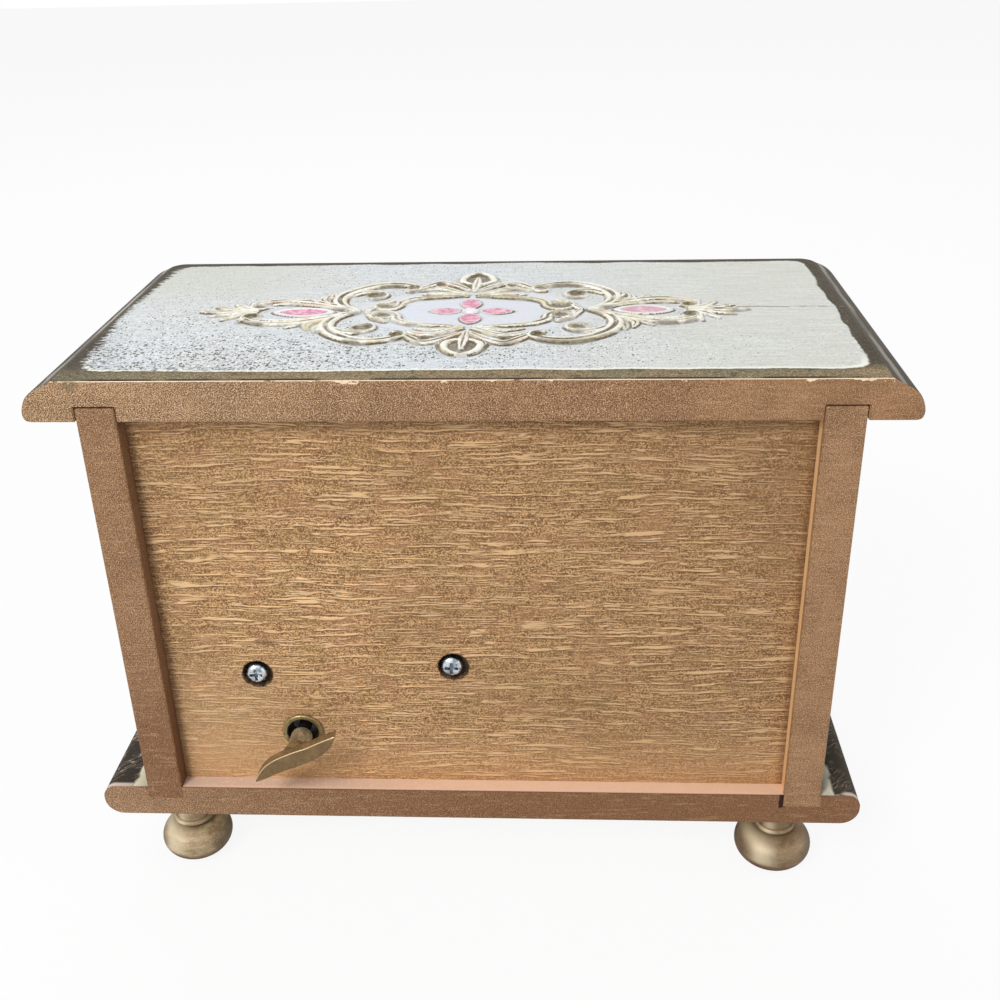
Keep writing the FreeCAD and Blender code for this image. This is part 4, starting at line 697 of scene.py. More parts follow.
# ---- Eyelet and movement screws ----
# A rolled brass eyelet lines the key hole. Two zinc plated cross screws go through
# the panel's wells into the movement's bedplate.
aged_brass, made, place, green = new_group("aged_brass", "Green")
tarnish = speckle(place, 420, 4, 0.6)
rub = speckle(place, 1900, 2, 0.6)
brass = blend(green, (182, 150, 104), (172, 158, 112))
brass = blend(times(rise(tarnish, 0.42, 0.62), 0.75), brass,
              blend(green, (126, 98, 62), (112, 98, 66)))
brass = tint(brass, (226, 202, 156), rise(rub, 0.57, 0.68), 0.5)
hand_out(made, brass, scaled(tarnish, 0.5, 0.14), plus(rub, tarnish))


def wear(material, *names):
    """Puts a finish on CAD nodes that keep their own mesh."""
    for name in names:
        for slot in nodes[name].material_slots:
            slot.material = material


key_x, key_z = 0.0402, 0.0400
eyelet_brass, shader, place = new_material("green_eyelet_brass", Metallic=0.85)
coat = use(aged_brass, Place=place, Green=0.9)
from_axis = distance(stretched(place, 1, 0, 1), (key_x, 0, key_z))
# Painted shade in the eyelet's throat.
colour = tint(coat["Colour"], (50, 40, 28), rise(from_axis, 0.0039, 0.0036), 0.85)
# Painted shade on the eyelet's side away from the lamp.
eyelet_side_shade = times(rise(parts_of(place)[0], key_x - 0.0005, key_x - 0.0035), 0.55)
colour = tint(colour, (104, 78, 50), eyelet_side_shade)
finish_paint(shader, colour, coat["Roughness"], coat["Height"], 0.3, 8e-05)
eyelet_profile = [(0.0034, -0.004), (0.0039, -0.004), (0.0039, 0), (0.0046, 0)]
eyelet_profile += bow((0.00435, 0.0004), 0.0004, -70, 90, 10)
eyelet_profile += [(0.0039, 0.0008), (0.00365, 0.00072), (0.00348, 0.00055), (0.0034, 0.0003)]
eyelet = dressed(turned("key_eyelet", eyelet_profile, (key_x, panel_face, key_z), "Y"), eyelet_brass)
settle("key_eyelet_rolled", eyelet, "case", "key_eyelet")

zinc, shader, place = new_material("bright_zinc", Metallic=1.0)
scuff = speckle(place, 1100, 2, 0.5)
bloom = speckle(place, 700, 2)
plated = shades(scuff, (0.32, (120, 130, 142)), (0.48, (206, 212, 218)), (0.66, (240, 244, 248)))
plated = tint(plated, (150, 158, 170), rise(bloom, 0.54, 0.68))
# Painted shade in the cross recesses.
recess_shade = rise(parts_of(place)[1], 0.0381, 0.0377)
plated = tint(plated, (84, 96, 108), recess_shade, 0.75)
finish_paint(shader, plated, scaled(scuff, 0.35, 0.08), scuff, 0.4, 6e-05)
head_shift, head_growth = 0.0005, 1.07
screws_mesh = eased_copy("movement_screws", 0.00012, zinc, sharp=50)
for corner in screws_mesh.vertices:
    screw_x, screw_z = screw_places[corner.co.x < 0.027]
    corner.co.x = screw_x + head_shift + head_growth * (corner.co.x - screw_x)
    corner.co.z = screw_z - head_shift + head_growth * (corner.co.z - screw_z)
settle("movement_screws_plated", screws_mesh, "case", "movement_screws")
wear(zinc, "small_screws", "upper_left_drawer_knob_screw", "upper_right_drawer_knob_screw",
     "lower_drawer_knob_screws")


# ---- Music movement ----
# A zinc casting carries the spring barrel, the pinned brass cylinder, the steel comb
# and the governor. It hangs on the back panel behind the wide drawer.
def brass_finish(name, green):
    material, shader, place = new_material(name, Metallic=0.85)
    coat = use(aged_brass, Place=place, Green=green)
    finish_coat(shader, coat, 0.3, 8e-05)
    return material


steel, shader, place = new_material("bright_steel", Metallic=1.0)
drawn = streaks(place, (400, 400, 3000), 3, 0.6)
metal = shades(drawn, (0.34, (150, 154, 160)), (0.5, (188, 192, 198)), (0.66, (214, 218, 222)))
finish_paint(shader, metal, scaled(drawn, 0.35, 0.12), drawn, 0.3, 5e-05)

cast_zinc, shader, place = new_material("cast_zinc", Metallic=0.8)
pebble = speckle(place, 1400, 4, 0.65)
metal = shades(pebble, (0.3, (104, 106, 110)), (0.5, (140, 142, 146)), (0.7, (172, 174, 178)))
finish_paint(shader, metal, scaled(pebble, 0.4, 0.3), pebble, 0.6, 8e-05)

nylon, shader, place = new_material("moulded_nylon", Subsurface_Weight=0.1)
milky = speckle(place, 500, 3)
resin = blend(milky, (216, 212, 196), (236, 232, 218))
finish_paint(shader, resin, scaled(milky, 0.2, 0.3), milky, 0.2, 5e-05)

# Painted shade: the arbor is coloured near black so that the key hole round it looks dark.
oiled_steel, shader, place = new_material("oiled_steel", Metallic=0.9)
smear = speckle(place, 900, 3)
hole_shade_tone = blend(smear, (34, 30, 26), (70, 64, 58))
finish_paint(shader, hole_shade_tone, scaled(smear, 0.3, 0.5), smear, 0.2, 5e-05)

clean_brass = brass_finish("clean_brass", 0.35)
wear(oiled_steel, "winding_arbor")
wear(steel, "barrel_bridge", "comb", "spring_barrel", "crown_wheel", "mainspring",
     "cylinder_shaft", "governor_shaft", "governor_pinion", "worm_shaft", "stop_lever")
wear(cast_zinc, "bedplate", "governor_frame")
wear(nylon, "worm_wheel", "governor_fly")
wear(clean_brass, "cylinder_pinion", "pin_cylinder", "cylinder_gear")


# ---- Winding key ----
# A round shank screwed on to the arbor with an S shaped wing across its end, cast
# in brass and browned with age. A painted highlight lightens the shank and the wing's
# upper edges, and painted shade darkens the wing's front face.
key_brass, shader, place = new_material("browned_key_brass", Metallic=0.6)
coat = use(aged_brass, Place=place, Green=0.0)
age = speckle(place, 260, 3)
y = parts_of(place)[1]
browned = tint(coat["Colour"], (134, 116, 84), scaled(rise(age, 0.4, 0.6), 0.35, 0.45))
# Painted highlight: the shank lighter and greyer than the wing.
on_shank = rise(y, 0.046, 0.0448)
browned = blend(times(on_shank, 0.8), browned,
                blend(rise(age, 0.42, 0.58), (150, 138, 112), (200, 190, 166)))
pitted = rise(speckle(place, 1500, 3, 0.65), 0.5, 0.36)
browned = tint(browned, (86, 72, 50), pitted, 0.6)
# Painted highlight on the shank's rounded inner end.
browned = tint(browned, (222, 206, 184), rise(y, 0.0412, 0.0402), 0.5)
# Painted shade on the wing's front face.
browned = tint(browned, (112, 84, 54), rise(y, 0.0486, 0.0489), 0.6)
dull = scaled(age, 0.2, 0.34)
finish_paint(shader, browned, dull, coat["Height"], 0.35, 8e-05)


def smooth_line(points, count=14):
    """A curve through the points."""
    known = [points[0], *points, points[-1]]
    line = []
    for before, start, end, after in zip(known, known[1:], known[2:], known[3:]):
        before, start, end, after = (np.array(p, float) for p in (before, start, end, after))
        for step in range(count):
            t = step / count
            line.append(0.5 * (2 * start + (end - before) * t
                               + (2 * before - 5 * start + 4 * end - after) * t**2
                               + (3 * start - before - 3 * end + after) * t**3))
    line.append(np.array(points[-1], float))
    return np.array(line)


def repaint(mesh, index, chosen):
    """Gives the faces that the test picks, by centre and normal, another material."""
    for face in mesh.polygons:
        if chosen(face.center, face.normal):
            face.material_index = index


# Painted highlight on the wing's upper bevels.
edge_highlight_brass, shader, place = new_material("rubbed_brass_edge", Metallic=0.7)
coat = use(aged_brass, Place=place, Green=0.2)
bright = tint(coat["Colour"], (240, 218, 176), 0.6)
finish_paint(shader, bright, times(coat["Roughness"], 0.8), coat["Height"], 0.3, 8e-05)

wing_back, wing_front = 0.04655, 0.04915
wing_edge = smooth_line([(-9.5, 6.5), (-7.2, 5.5), (-4.9, 4.35), (-2.5, 3.1), (-0.2, 2.2), (2.1, 1.15),
                         (4.5, -0.1), (7.0, -2.0), (8.9, -4.6), (9.4, -6.1)], 4) * 0.001
work = bmesh.new()
layers = []
for wing_y in (wing_back, wing_front):
    upper = [work.verts.new((key_x + a, wing_y, key_z + b)) for a, b in wing_edge]
    lower = [work.verts.new((key_x - a, wing_y, key_z - b)) for a, b in wing_edge]
    layers.append(upper + lower)
for k in range(len(layers[0])):
    after = (k + 1) % len(layers[0])
    work.faces.new([layers[0][k], layers[0][after], layers[1][after], layers[1][k]])
for layer in layers:
    work.faces.new(layer)
wing_blank = built(work, "key_wing_blank")
wing_mesh = ease("winding_key_wing", wing_blank, 0.00042, 2, sharp=50, rubbed=1)
# The upward bevels near the front keep the painted highlight.
repaint(wing_mesh, 0, lambda centre, normal: normal.z < 0.1 or centre.y < 0.048)
bpy.data.meshes.remove(wing_blank)
shank_profile = [(0, 0.0011), (0.0013, 0.0011), (0.0019, 0.00125), (0.0023, 0.0017), (0.00242, 0.0024),
                 (0.0024, 0.0050), (0.0025, 0.0066), (0.0028, 0.0078), (0.0029, 0.0082), (0, 0.0082)]
work = bmesh.new()
work.from_mesh(wing_mesh)
work.from_mesh(turned("key_shank", shank_profile, (key_x, panel_face, key_z), "Y", 64))
key_mesh = built(work, "winding_key", 50)
for thing in ("winding_key_wing_eased", "key_shank"):
    bpy.data.meshes.remove(bpy.data.meshes[thing])
key_mesh.materials.append(key_brass)
key_mesh.materials.append(edge_highlight_brass)
settle("winding_key_cast", key_mesh, "winding", "winding_key")


# ---- Shelf and upright ----
# Two bare boards divide the case: the shelf over the wide drawer, and the upright
# between the small drawers. Only their front edges are painted.
def wood_finish(name, *grain):
    material, shader, place = new_material(name)
    coat = use(bare_wood, Place=stretched(place, *grain))
    finish_coat(shader, coat, 0.5, 0.00012)
    return material


wood_across = wood_finish("wood_grain_across", 40, 500, 500)
wood_inward = wood_finish("wood_grain_inward", 500, 40, 500)
divider_edge, shader, place = new_material("divider_front_edge", Specular_IOR_Level=0.4)
coat = use(dark_wax, Place=place, Light=0.8)
finish_coat(shader, coat, 0.5, 0.0001)
case_front = -0.0384
for name, grain in (("drawer_shelf", wood_across), ("drawer_upright", wood_inward)):
    mesh = eased_copy(name, 0.00035, grain, divider_edge)
    repaint(mesh, 1, lambda centre, normal: centre.y < case_front + 0.0009)
    settle(name + "_sanded", mesh, "case", name)


# ---- Drawer fronts ----
# Lipless cream fronts with a waxed edge and a thin brushed line inside it, made to
# go with the top. Their backs and ends are bare wood.
def front_finish(name, low, high):
    material, shader, place = new_material(name, Specular_IOR_Level=0.4)
    x, y, z = parts_of(place)
    to_side = least(minus(x, low.x), minus(high.x, x))
    to_edge = least(minus(z, low.z), minus(high.z, z))
    rim = soft_min(to_side, to_edge, 0.003)
    wander = scaled(speckle(place, 80, 5, 0.65), 0.0026, -0.0013)
    cream = use(cream_paint, Place=place, Holes=0.7, Warmth=0.55)
    wax = use(dark_wax, Place=place, Light=0.7)
    coat = mix_finishes(rise(plus(rim, wander), 0.003, 0.0022), cream, wax)
    off_line = absolute(minus(plus(rim, times(wander, 0.2)), 0.0056))
    lined = times(rise(off_line, 0.00042, 0.00024), 0.85)
    gold_line = blend(speckle(place, 800, 2), (150, 118, 66), (206, 176, 112))
    coat["Colour"] = blend(lined, coat["Colour"], gold_line)
    finish_coat(shader, coat, 0.6, 0.00012)
    return material


front_y = -0.03795
drawers = ("upper_left_drawer", "upper_right_drawer", "lower_drawer")
for drawer_name in drawers:
    name = drawer_name + "_front"
    mesh = eased_copy(name, 0.0006, front_finish(name + "_paint", *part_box(name)), wood_across, segments=3)
    repaint(mesh, 1, lambda centre, normal: centre.y > front_y + 0.00075)
    settle(name + "_painted", mesh, drawer_name, name)


# ---- Drawer boxes ----
# Thin bare boards, glued and pinned behind each front, round a let-in bottom. The
# sides run inwards with the grain, the backs and bottoms across.
for drawer_name in drawers:
    for part, finish in (("left_side", wood_inward), ("right_side", wood_inward), ("back", wood_across),
                         ("bottom", wood_across)):
        name = f"{drawer_name}_{part}"
        settle(name + "_sanded", eased_copy(name, 0.0003, finish), drawer_name, name)


# ---- Drawer linings ----
# Wine red velvet glued over card and laid on each drawer's bottom. The pile lies
# in soft streaks, and the edges are turned under.
velvet, shader, place = new_material("wine_velvet", Sheen_Weight=0.6, Sheen_Roughness=0.4)
pile = speckle(place, 3500, 2, 0.6)
stroke = streaks(place, (60, 110, 60), 3, 0.55, 0.8)
cloth = blend(rise(stroke, 0.38, 0.64), (84, 14, 28), (142, 34, 52))
cloth = tint(cloth, (58, 8, 18), rise(pile, 0.5, 0.36), 0.5)
finish_paint(shader, cloth, scaled(pile, 0.2, 0.7), pile, 0.9, 0.00015)


def laid_velvet(name, body):
    """A thin closed sheet with a turned edge and a slightly uneven top."""
    low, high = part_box(name)
    columns, rows = 60, 40
    work = bmesh.new()
    width, depth = high.x - low.x, high.y - low.y
    grid = []
    for lower in (False, True):
        layer = []
        for row in range(rows + 1):
            line = []
            for column in range(columns + 1):
                s, t = column / columns, row / rows
                edge = min(s * width, (1 - s) * width, t * depth, (1 - t) * depth)
                roll = 1 - max(0.0, 1 - edge / 0.0012) ** 2
                swell = 0.5 + 0.5 * math.sin(19 * s + 3 * math.sin(7 * t)) * math.sin(13 * t + 2 * s)
                top = low.z + (high.z - low.z) * (0.35 + 0.5 * roll + 0.15 * roll * swell)
                line.append(work.verts.new((low.x + s * width, low.y + t * depth,
                                            low.z if lower else top)))
            layer.append(line)
        grid.append(layer)
    for layer in grid:
        for row in range(rows):
            for column in range(columns):
                work.faces.new([layer[row][column], layer[row][column + 1],
                                layer[row + 1][column + 1], layer[row + 1][column]])
    top_layer, under = grid
    rims = ([(0, c) for c in range(columns + 1)], [(rows, c) for c in range(columns + 1)],
            [(r, 0) for r in range(rows + 1)], [(r, columns) for r in range(rows + 1)])
    for rim_places in rims:
        for (r0, c0), (r1, c1) in zip(rim_places, rim_places[1:]):
            work.faces.new([top_layer[r0][c0], top_layer[r1][c1], under[r1][c1], under[r0][c0]])
    mesh = dressed(built(work, name + "_velvet"), velvet)
    mesh.shade_smooth()
    settle(name + "_velvet", mesh, body, name)


for drawer_name in drawers:
    laid_velvet(drawer_name + "_lining", drawer_name)


# ---- Drawer knobs ----
# Small turned brass knobs with a domed head, each held by a screw from inside the
# drawer. The upper drawers have one each, the wide drawer two.
knob_brass = brass_finish("handled_brass", 0.2)
knob_profile = [(0, 0), (0.0034, 0), (0.0036, 0.0002), (0.0036, 0.00095), (0.00345, 0.00114),
                (0.0027, 0.0017), (0.0023, 0.0024), (0.0022, 0.0030), (0.0022, 0.0036),
                (0.0024, 0.0041), (0.0034, 0.0047), (0.0048, 0.0053), (0.0053, 0.0058), (0.0055, 0.0062)]
knob_profile += [(r, 0.0066 + h * 0.0029 / 0.0055) for r, h in bow((0, 0), 0.0055, 0, 84, 14)]
knob_profile += [(0, 0.0095)]
for name, body in (("upper_left_drawer_knob", "upper_left_drawer"),
                   ("upper_right_drawer_knob", "upper_right_drawer"),
                   ("lower_drawer_left_knob", "lower_drawer"), ("lower_drawer_right_knob", "lower_drawer")):
    low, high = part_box(name)
    centre = ((low.x + high.x) / 2, high.y, (low.z + high.z) / 2)
    knob = dressed(turned(name, knob_profile, centre, "-Y", 64), knob_brass)
    settle(name + "_turned", knob, body, name)


# ---- Top board ----
# A moulded board with a raised field. Its back edge is copper, worn bright along
# the top. The field is cream with a dark band brushed round it by hand, and the
# moulding is waxed nearly black, rubbed through along its ledge and given a painted
# highlight there.
lid_top = 0.1272
lid_side = 0.0882
lid_front = -0.04915
groove_inner, groove_outer, groove_top = 0.0693, 0.0777, 0.12155
gap_height = 0.1215
lid_corner = 0.0090
field_corner = 0.0032
field_inset = 0.0074
left_share, right_share = 0.97, 0.92

worn_copper, shader, place = new_material("worn_copper_edge", Metallic=0.2, Specular_IOR_Level=0.3)
x, y, z = parts_of(place)
edge_grain = scaled(rise(x, -0.075, -0.015), 0.55, 0.45)
coat = use(copper_paint, Place=place, Warmth=rise(x, 0.05, -0.04), Grain=edge_grain,
           Dark=times(times(rise(x, 0.06, 0.0), 0.45), rise(x, -0.06, -0.03)))
chips = streaks(place, (240, 240, 500), 3, 0.6)
reach = scaled(rise(chips, 0.58, 0.74), 0.0007, 0.0002)
from_top = minus(lid_top, z)
worn = rise(minus(from_top, reach), 0.00012, 0.0)
worn = times(worn, rise(speckle(place, 330, 2), 0.3, 0.42))
colour = tint(coat["Colour"], (250, 226, 196), worn, 0.9)
stain = distance(place, (0.0775, back_y, 0.1265))
colour = tint(colour, (96, 88, 58), rise(stain, 0.0022, 0.0008), 0.5)
notch_top = absolute(minus(z, gap_height))
notch_wide = times(rise(absolute(x), 0.0692, 0.0694), rise(absolute(x), 0.0779, 0.0777))
gap_line = times(rise(notch_top, 0.00034, 0.00018), notch_wide)
notch_side = least(absolute(minus(absolute(x), groove_inner)), absolute(minus(absolute(x), groove_outer)))
gap_side = times(rise(notch_side, 0.0003, 0.00012), rise(z, gap_height + 0.0001, gap_height - 0.0001))
gap_line = most(gap_line, times(gap_side, 0.6))
colour = tint(colour, (44, 28, 20), gap_line, 0.9)
finish_paint(shader, colour, coat["Roughness"], coat["Height"], 0.7, 0.00012)

top_paint, shader, place = new_material("top_paint", Specular_IOR_Level=0.25)
x, y, z = parts_of(place)
swing = scaled(speckle(place, 48, 2), 1, -0.5)
bristle = scaled(speckle(place, 1100, 3, 0.6), 0.001, -0.0005)
comb = scaled(streaks(place, (260, 2300, 1), 3, 0.65), 0.008, -0.004)
left_margin = scaled(swing, 0.003, 0.0026)
from_left = minus(minus(lid_side - field_inset * left_share, left_margin), x)
half_way = rise(absolute(plus(y, 0.003)), 0.034, 0.004)
from_left = scaled(half_way, 0.0017, plus(from_left, comb))
from_right = scaled(swing, 0.0045, plus(x, lid_side - field_inset - 0.0022))
from_right = scaled(rise(y, 0.005, 0.036), 0.0007, plus(from_right, 0.0003))
from_back = scaled(swing, 0.0022, minus(back_y - 0.005, y))
from_front = scaled(swing, 0.0045, minus(y, lid_front + 0.0096))
clear = soft_min(least(from_left, from_right), from_back, 0.01)
clear = soft_min(clear, from_front, 0.007)
creamy = rise(plus(clear, bristle), -0.00022, 0.0003)
side_fade = rise(x, 0.035, -0.075)
near_fade = rise(y, -0.02, 0.04)
holes = times(scaled(side_fade, -0.64, 1.04), scaled(near_fade, 0.5, 0.58))
middle_blue = times(rise(absolute(x), 0.05, 0.0), 0.3)
far_left = times(rise(x, 0.03, 0.06), rise(y, 0.005, -0.03))
near_left = times(rise(x, 0.02, 0.05), rise(y, 0.005, 0.03))
warmth = minus(scaled(side_fade, 0.45, 0.34), middle_blue)
warmth = scaled(far_left, 0.3, warmth)
warmth = scaled(near_left, -0.25, warmth, clamp=True)
medal = distance(stretched(place, 1 / 0.03, 1 / 0.017, 0), (0.04, 0.0, 0))
medal = rise(medal, 1.0, 0.8)
holes = times(holes, scaled(medal, -0.6, 1.0))
cream = use(cream_paint, Place=place, Holes=holes, Warmth=warmth)
band_light = times(rise(y, 0.034, 0.039), scaled(rise(x, 0.066, 0.078), -0.4, 1.0))
band = use(dark_wax, Place=place, Light=scaled(band_light, 0.84, 0.08))
pale_rim = times(rise(clear, 0.0013, 0.0006), rise(y, 0.028, 0.036))
cream_tone = tint(cream["Colour"], (222, 224, 238), medal, 0.5)
cream_tone = tint(cream_tone, (194, 195, 186), far_left, 0.55)
cream_tone = tint(cream_tone, (244, 242, 228), pale_rim, 0.8)
dash = streaks(place, (700, 1500, 1), 2, 0.6)
dashed = times(rise(dash, 0.53, 0.6), rise(clear, 0.007, 0.0005))
dashed = times(dashed, times(rise(x, 0.03, 0.065), rise(y, 0.004, 0.03)))
cream_tone = tint(cream_tone, (66, 58, 50), dashed, 0.85)
cream["Colour"] = cream_tone
band["Roughness"] = plus(band["Roughness"], 0.22)
coat = mix_finishes(creamy, band, cream)
shadow_line = times(rise(clear, -0.0007, -0.00035), rise(clear, 0.0001, -0.0001))
tint_coat(coat, (70, 64, 50), shadow_line, 0.45)
crack_line = absolute(minus(y, scaled(speckle(place, 120, 3), 0.0024, -0.0031)))
cracked = times(rise(crack_line, 0.0005, 0.00015), rise(x, -0.051, -0.054))
cracked = times(cracked, rise(speckle(place, 420, 2), 0.36, 0.48))
tint_coat(coat, (120, 116, 100), cracked, 0.85)
lip_line = rise(minus(back_y, y), 0.00105, 0.0006)
lip_line = times(lip_line, rise(speckle(place, 70, 2), 0.36, 0.5))
tint_coat(coat, (46, 36, 26), lip_line, 0.92)
coat["Roughness"] = most(coat["Roughness"], lip_line)
in_left = times(minus(lid_side, x), 1 / left_share)
in_right = times(plus(x, lid_side), 1 / right_share)
inwards = least(in_left, in_right)
inwards = soft_min(inwards, minus(y, lid_front), 0.003)
inwards = scaled(speckle(place, 160, 3), 0.0012, minus(inwards, 0.0006))
moulding = use(dark_wax, Place=place, Light=0.0)
# The ledge is rubbed through the wax, and the pale line there is also a painted highlight.
rubbed = times(rise(inwards, 0.0042, 0.0048), rise(inwards, 0.0062, 0.0053))
rub_gaps = streaks(place, (200, 40, 200), 3)
rubbed = times(rubbed, scaled(rise(rub_gaps, 0.36, 0.56), 0.55, 0.3))
rubbed = times(rubbed, scaled(rise(x, 0.0, -0.05), -0.3, 0.85))
ledge = tint(moulding["Colour"], (192, 184, 170), rubbed)
foot_line = times(rise(inwards, 0.0058, 0.0064), rise(inwards, 0.0078, 0.007))
ledge = tint(ledge, (60, 55, 46), foot_line, 0.6)
below_field = rise(inwards, field_inset + 0.0002, field_inset - 0.0002)
nose_gloss = scaled(moulding["Height"], 0.3, 0.5)
moulded = {**moulding, "Colour": ledge, "Roughness": nose_gloss}
coat = mix_finishes(below_field, coat, moulded)
inside_case = times(rise(y, case_front, case_front + 0.0006),
                    rise(z, lid_bottom + 0.0003, lid_bottom + 0.00015))
inside_case = times(inside_case, rise(absolute(x), 0.07, 0.0695))
wood = use(bare_wood, Place=stretched(place, 40, 500, 500))
coat = mix_finishes(inside_case, coat, wood)
finish_coat(shader, coat, 0.6, 0.00012)


def lid_outline(inset, steps=10):
    """The board's outline from its back left corner round to its back right one."""
    radius = max(lid_corner - inset, field_corner)
    left, right = lid_side - inset * left_share, inset * right_share - lid_side
    front = lid_front + inset
    return [(left, back_y), *bow((left - radius, front + radius), radius, 0, -90, steps),
            *bow((right + radius, front + radius), radius, -90, -180, steps), (right, back_y)]


def box_corners(low, high):
    return [(x, y, z) for x in (low[0], high[0]) for y in (low[1], high[1]) for z in (low[2], high[2])]


moulding_line = smooth_line([(0.0016, lid_bottom), (0.0005, 0.11875), (0, 0.1199), (0.0003, 0.1217),
                             (0.0014, 0.1237), (0.0034, 0.1253), (0.0055, 0.1262), (0.0068, 0.12695),
                             (field_inset, lid_top)], 4)
work = bmesh.new()
rings = [[work.verts.new((x, y, height)) for x, y in lid_outline(inset)] for inset, height in moulding_line]
for low, high in zip(rings, rings[1:]):
    for k in range(len(low) - 1):
        work.faces.new([low[k], low[k + 1], high[k + 1], high[k]])
work.faces.new(rings[0])
work.faces.new(rings[-1])
work.faces.new([ring[0] for ring in rings] + [ring[-1] for ring in reversed(rings)])
lid_block = built(work, "top_board_block")

work = bmesh.new()
for side in (-1, 1):
    ends = sorted((side * groove_inner, side * groove_outer))
    groove = box_corners((ends[0], -0.03865, 0.1170), (ends[1], 0.0450, groove_top))
    corners = [work.verts.new(p) for p in groove]
    bmesh.ops.convex_hull(work, input=corners)
groove_mesh = built(work, "side_grooves")
grooves = new_object("side_grooves", groove_mesh)
blank = new_object("top_board_blank", lid_block)
cut = blank.modifiers.new("grooves", "BOOLEAN")
cut.operation, cut.solver, cut.object = "DIFFERENCE", "EXACT", grooves
graph = bpy.context.evaluated_depsgraph_get()
grooved_block = bpy.data.meshes.new_from_object(blank.evaluated_get(graph), depsgraph=graph)
for spare in (blank, grooves):
    bpy.data.objects.remove(spare)

lid_mesh = dressed(ease("top_board", grooved_block, 0.0003), top_paint, worn_copper, wood_across)
for spare in (grooved_block, lid_block, groove_mesh):
    bpy.data.meshes.remove(spare)
repaint(lid_mesh, 2, lambda centre, normal: 0.0688 < abs(centre.x) < 0.0782 and 0.1186 < centre.z < 0.1219
        and centre.y > -0.0392 and normal.y < 0.5)
repaint(lid_mesh, 1, lambda centre, normal: normal.y > 0.5 and centre.y > back_y - 0.0004)
settle("top_board_painted", lid_mesh, "case", "top_board")


# ---- Carved ornament ----
# A low relief of scrolls and leaves round a four-petalled flower, cast in
# composition and glued on. The high parts are cream and gilt with a painted highlight
# on the crests, the hollows olive brown, the flanks that face the front carry painted
# shade, and the petals and the two almonds are pink.
mm = 0.001
grid_step = 0.25
half_long, half_deep = 61.9, 29.65
u_count = int(2 * half_long / grid_step) + 1
v_count = int(2 * half_deep / grid_step) + 1
u_line = np.linspace(-half_long, half_long, u_count)
v_line = np.linspace(-half_deep, half_deep, v_count)
grid_u, grid_v = np.meshgrid(u_line, v_line)
drift_u = 0.35 * np.sin(grid_u / 9.0 + 1.3) + 0.25 * np.sin(grid_v / 5.0 + grid_u / 17.0)
drift_v = 0.30 * np.sin(grid_u / 7.0 + 0.4) + 0.20 * np.sin(grid_v / 6.0)
fold_u = np.abs(grid_u + drift_u).ravel()
fold_v = np.abs(grid_v + drift_v).ravel()
rise_mm = np.zeros(fold_u.size)
hollow = np.zeros(fold_u.size)
blush_share = np.zeros(fold_u.size)
cover = np.full(fold_u.size, 9.0)
whiteness = np.zeros(fold_u.size)


def lay_stroke(points, widths, height, section):
    """One scroll or leaf: a strip along a curve, with its width at each point."""
    line = smooth_line(points)
    wide = np.interp(np.linspace(0, 1, len(line)), np.linspace(0, 1, len(widths)), widths)
    reach = max(widths) + 1.6
    near = ((fold_u > line[:, 0].min() - reach) & (fold_u < line[:, 0].max() + reach)
            & (fold_v > line[:, 1].min() - reach) & (fold_v < line[:, 1].max() + reach))
    index = np.flatnonzero(near)
    pu, pv = fold_u[index], fold_v[index]
    best = np.full(index.size, 1e9)
    width_there = np.ones(index.size)
    for a, b, wa, wb in zip(line, line[1:], wide, wide[1:]):
        step = b - a
        length = max(float(step @ step), 1e-9)
        t = np.clip(((pu - a[0]) * step[0] + (pv - a[1]) * step[1]) / length, 0, 1)
        gap = np.hypot(pu - a[0] - t * step[0], pv - a[1] - t * step[1])
        closer = gap < best
        best = np.where(closer, gap, best)
        width_there = np.where(closer, wa + (wb - wa) * t, width_there)
    q = best / width_there
    cover[index] = np.minimum(cover[index], best - width_there)
    inside = q < 1
    here = index[inside]
    q = q[inside]
    dome = np.sqrt(1 - q**2)
    if section == "fluted":
        raised = height * dome * (1 - 0.65 * np.exp(-((q / 0.26) ** 2)))
        shade = 0.95 * np.exp(-((q / 0.26) ** 2)) + 0.5 * (q > 0.88)
    elif section == "leaf":
        raised = height * dome * (1 - 0.45 * np.exp(-((q / 0.18) ** 2)))
        shade = 0.75 * np.exp(-((q / 0.16) ** 2)) + 0.4 * (q > 0.88)
    else:
        raised = height * dome
        shade = 0.35 * (q > 0.85)
    higher = raised > rise_mm[here]
    rise_mm[here] = np.where(higher, raised, rise_mm[here])
    hollow[here] = np.where(higher, shade, hollow[here])


def sink_pit(u, v, radius):
    """A drilled eye of a scroll, with a raised lip and a dark floor."""
    gap = np.hypot(fold_u - u, fold_v - v)
    cover[:] = np.minimum(cover, gap - radius - 0.4)
    lip = np.exp(-(((gap - radius * 1.25) / 0.45) ** 2)) * 0.5
    rise_mm[:] = np.maximum(rise_mm, np.where(gap < radius * 1.9, lip, 0))
    floor_here = gap < radius
    rise_mm[floor_here] = np.minimum(rise_mm[floor_here], 0.05 + 0.3 * (gap[floor_here] / radius) ** 3)
    hollow[:] = np.maximum(hollow, np.clip(1.7 - gap / radius, 0, 1))


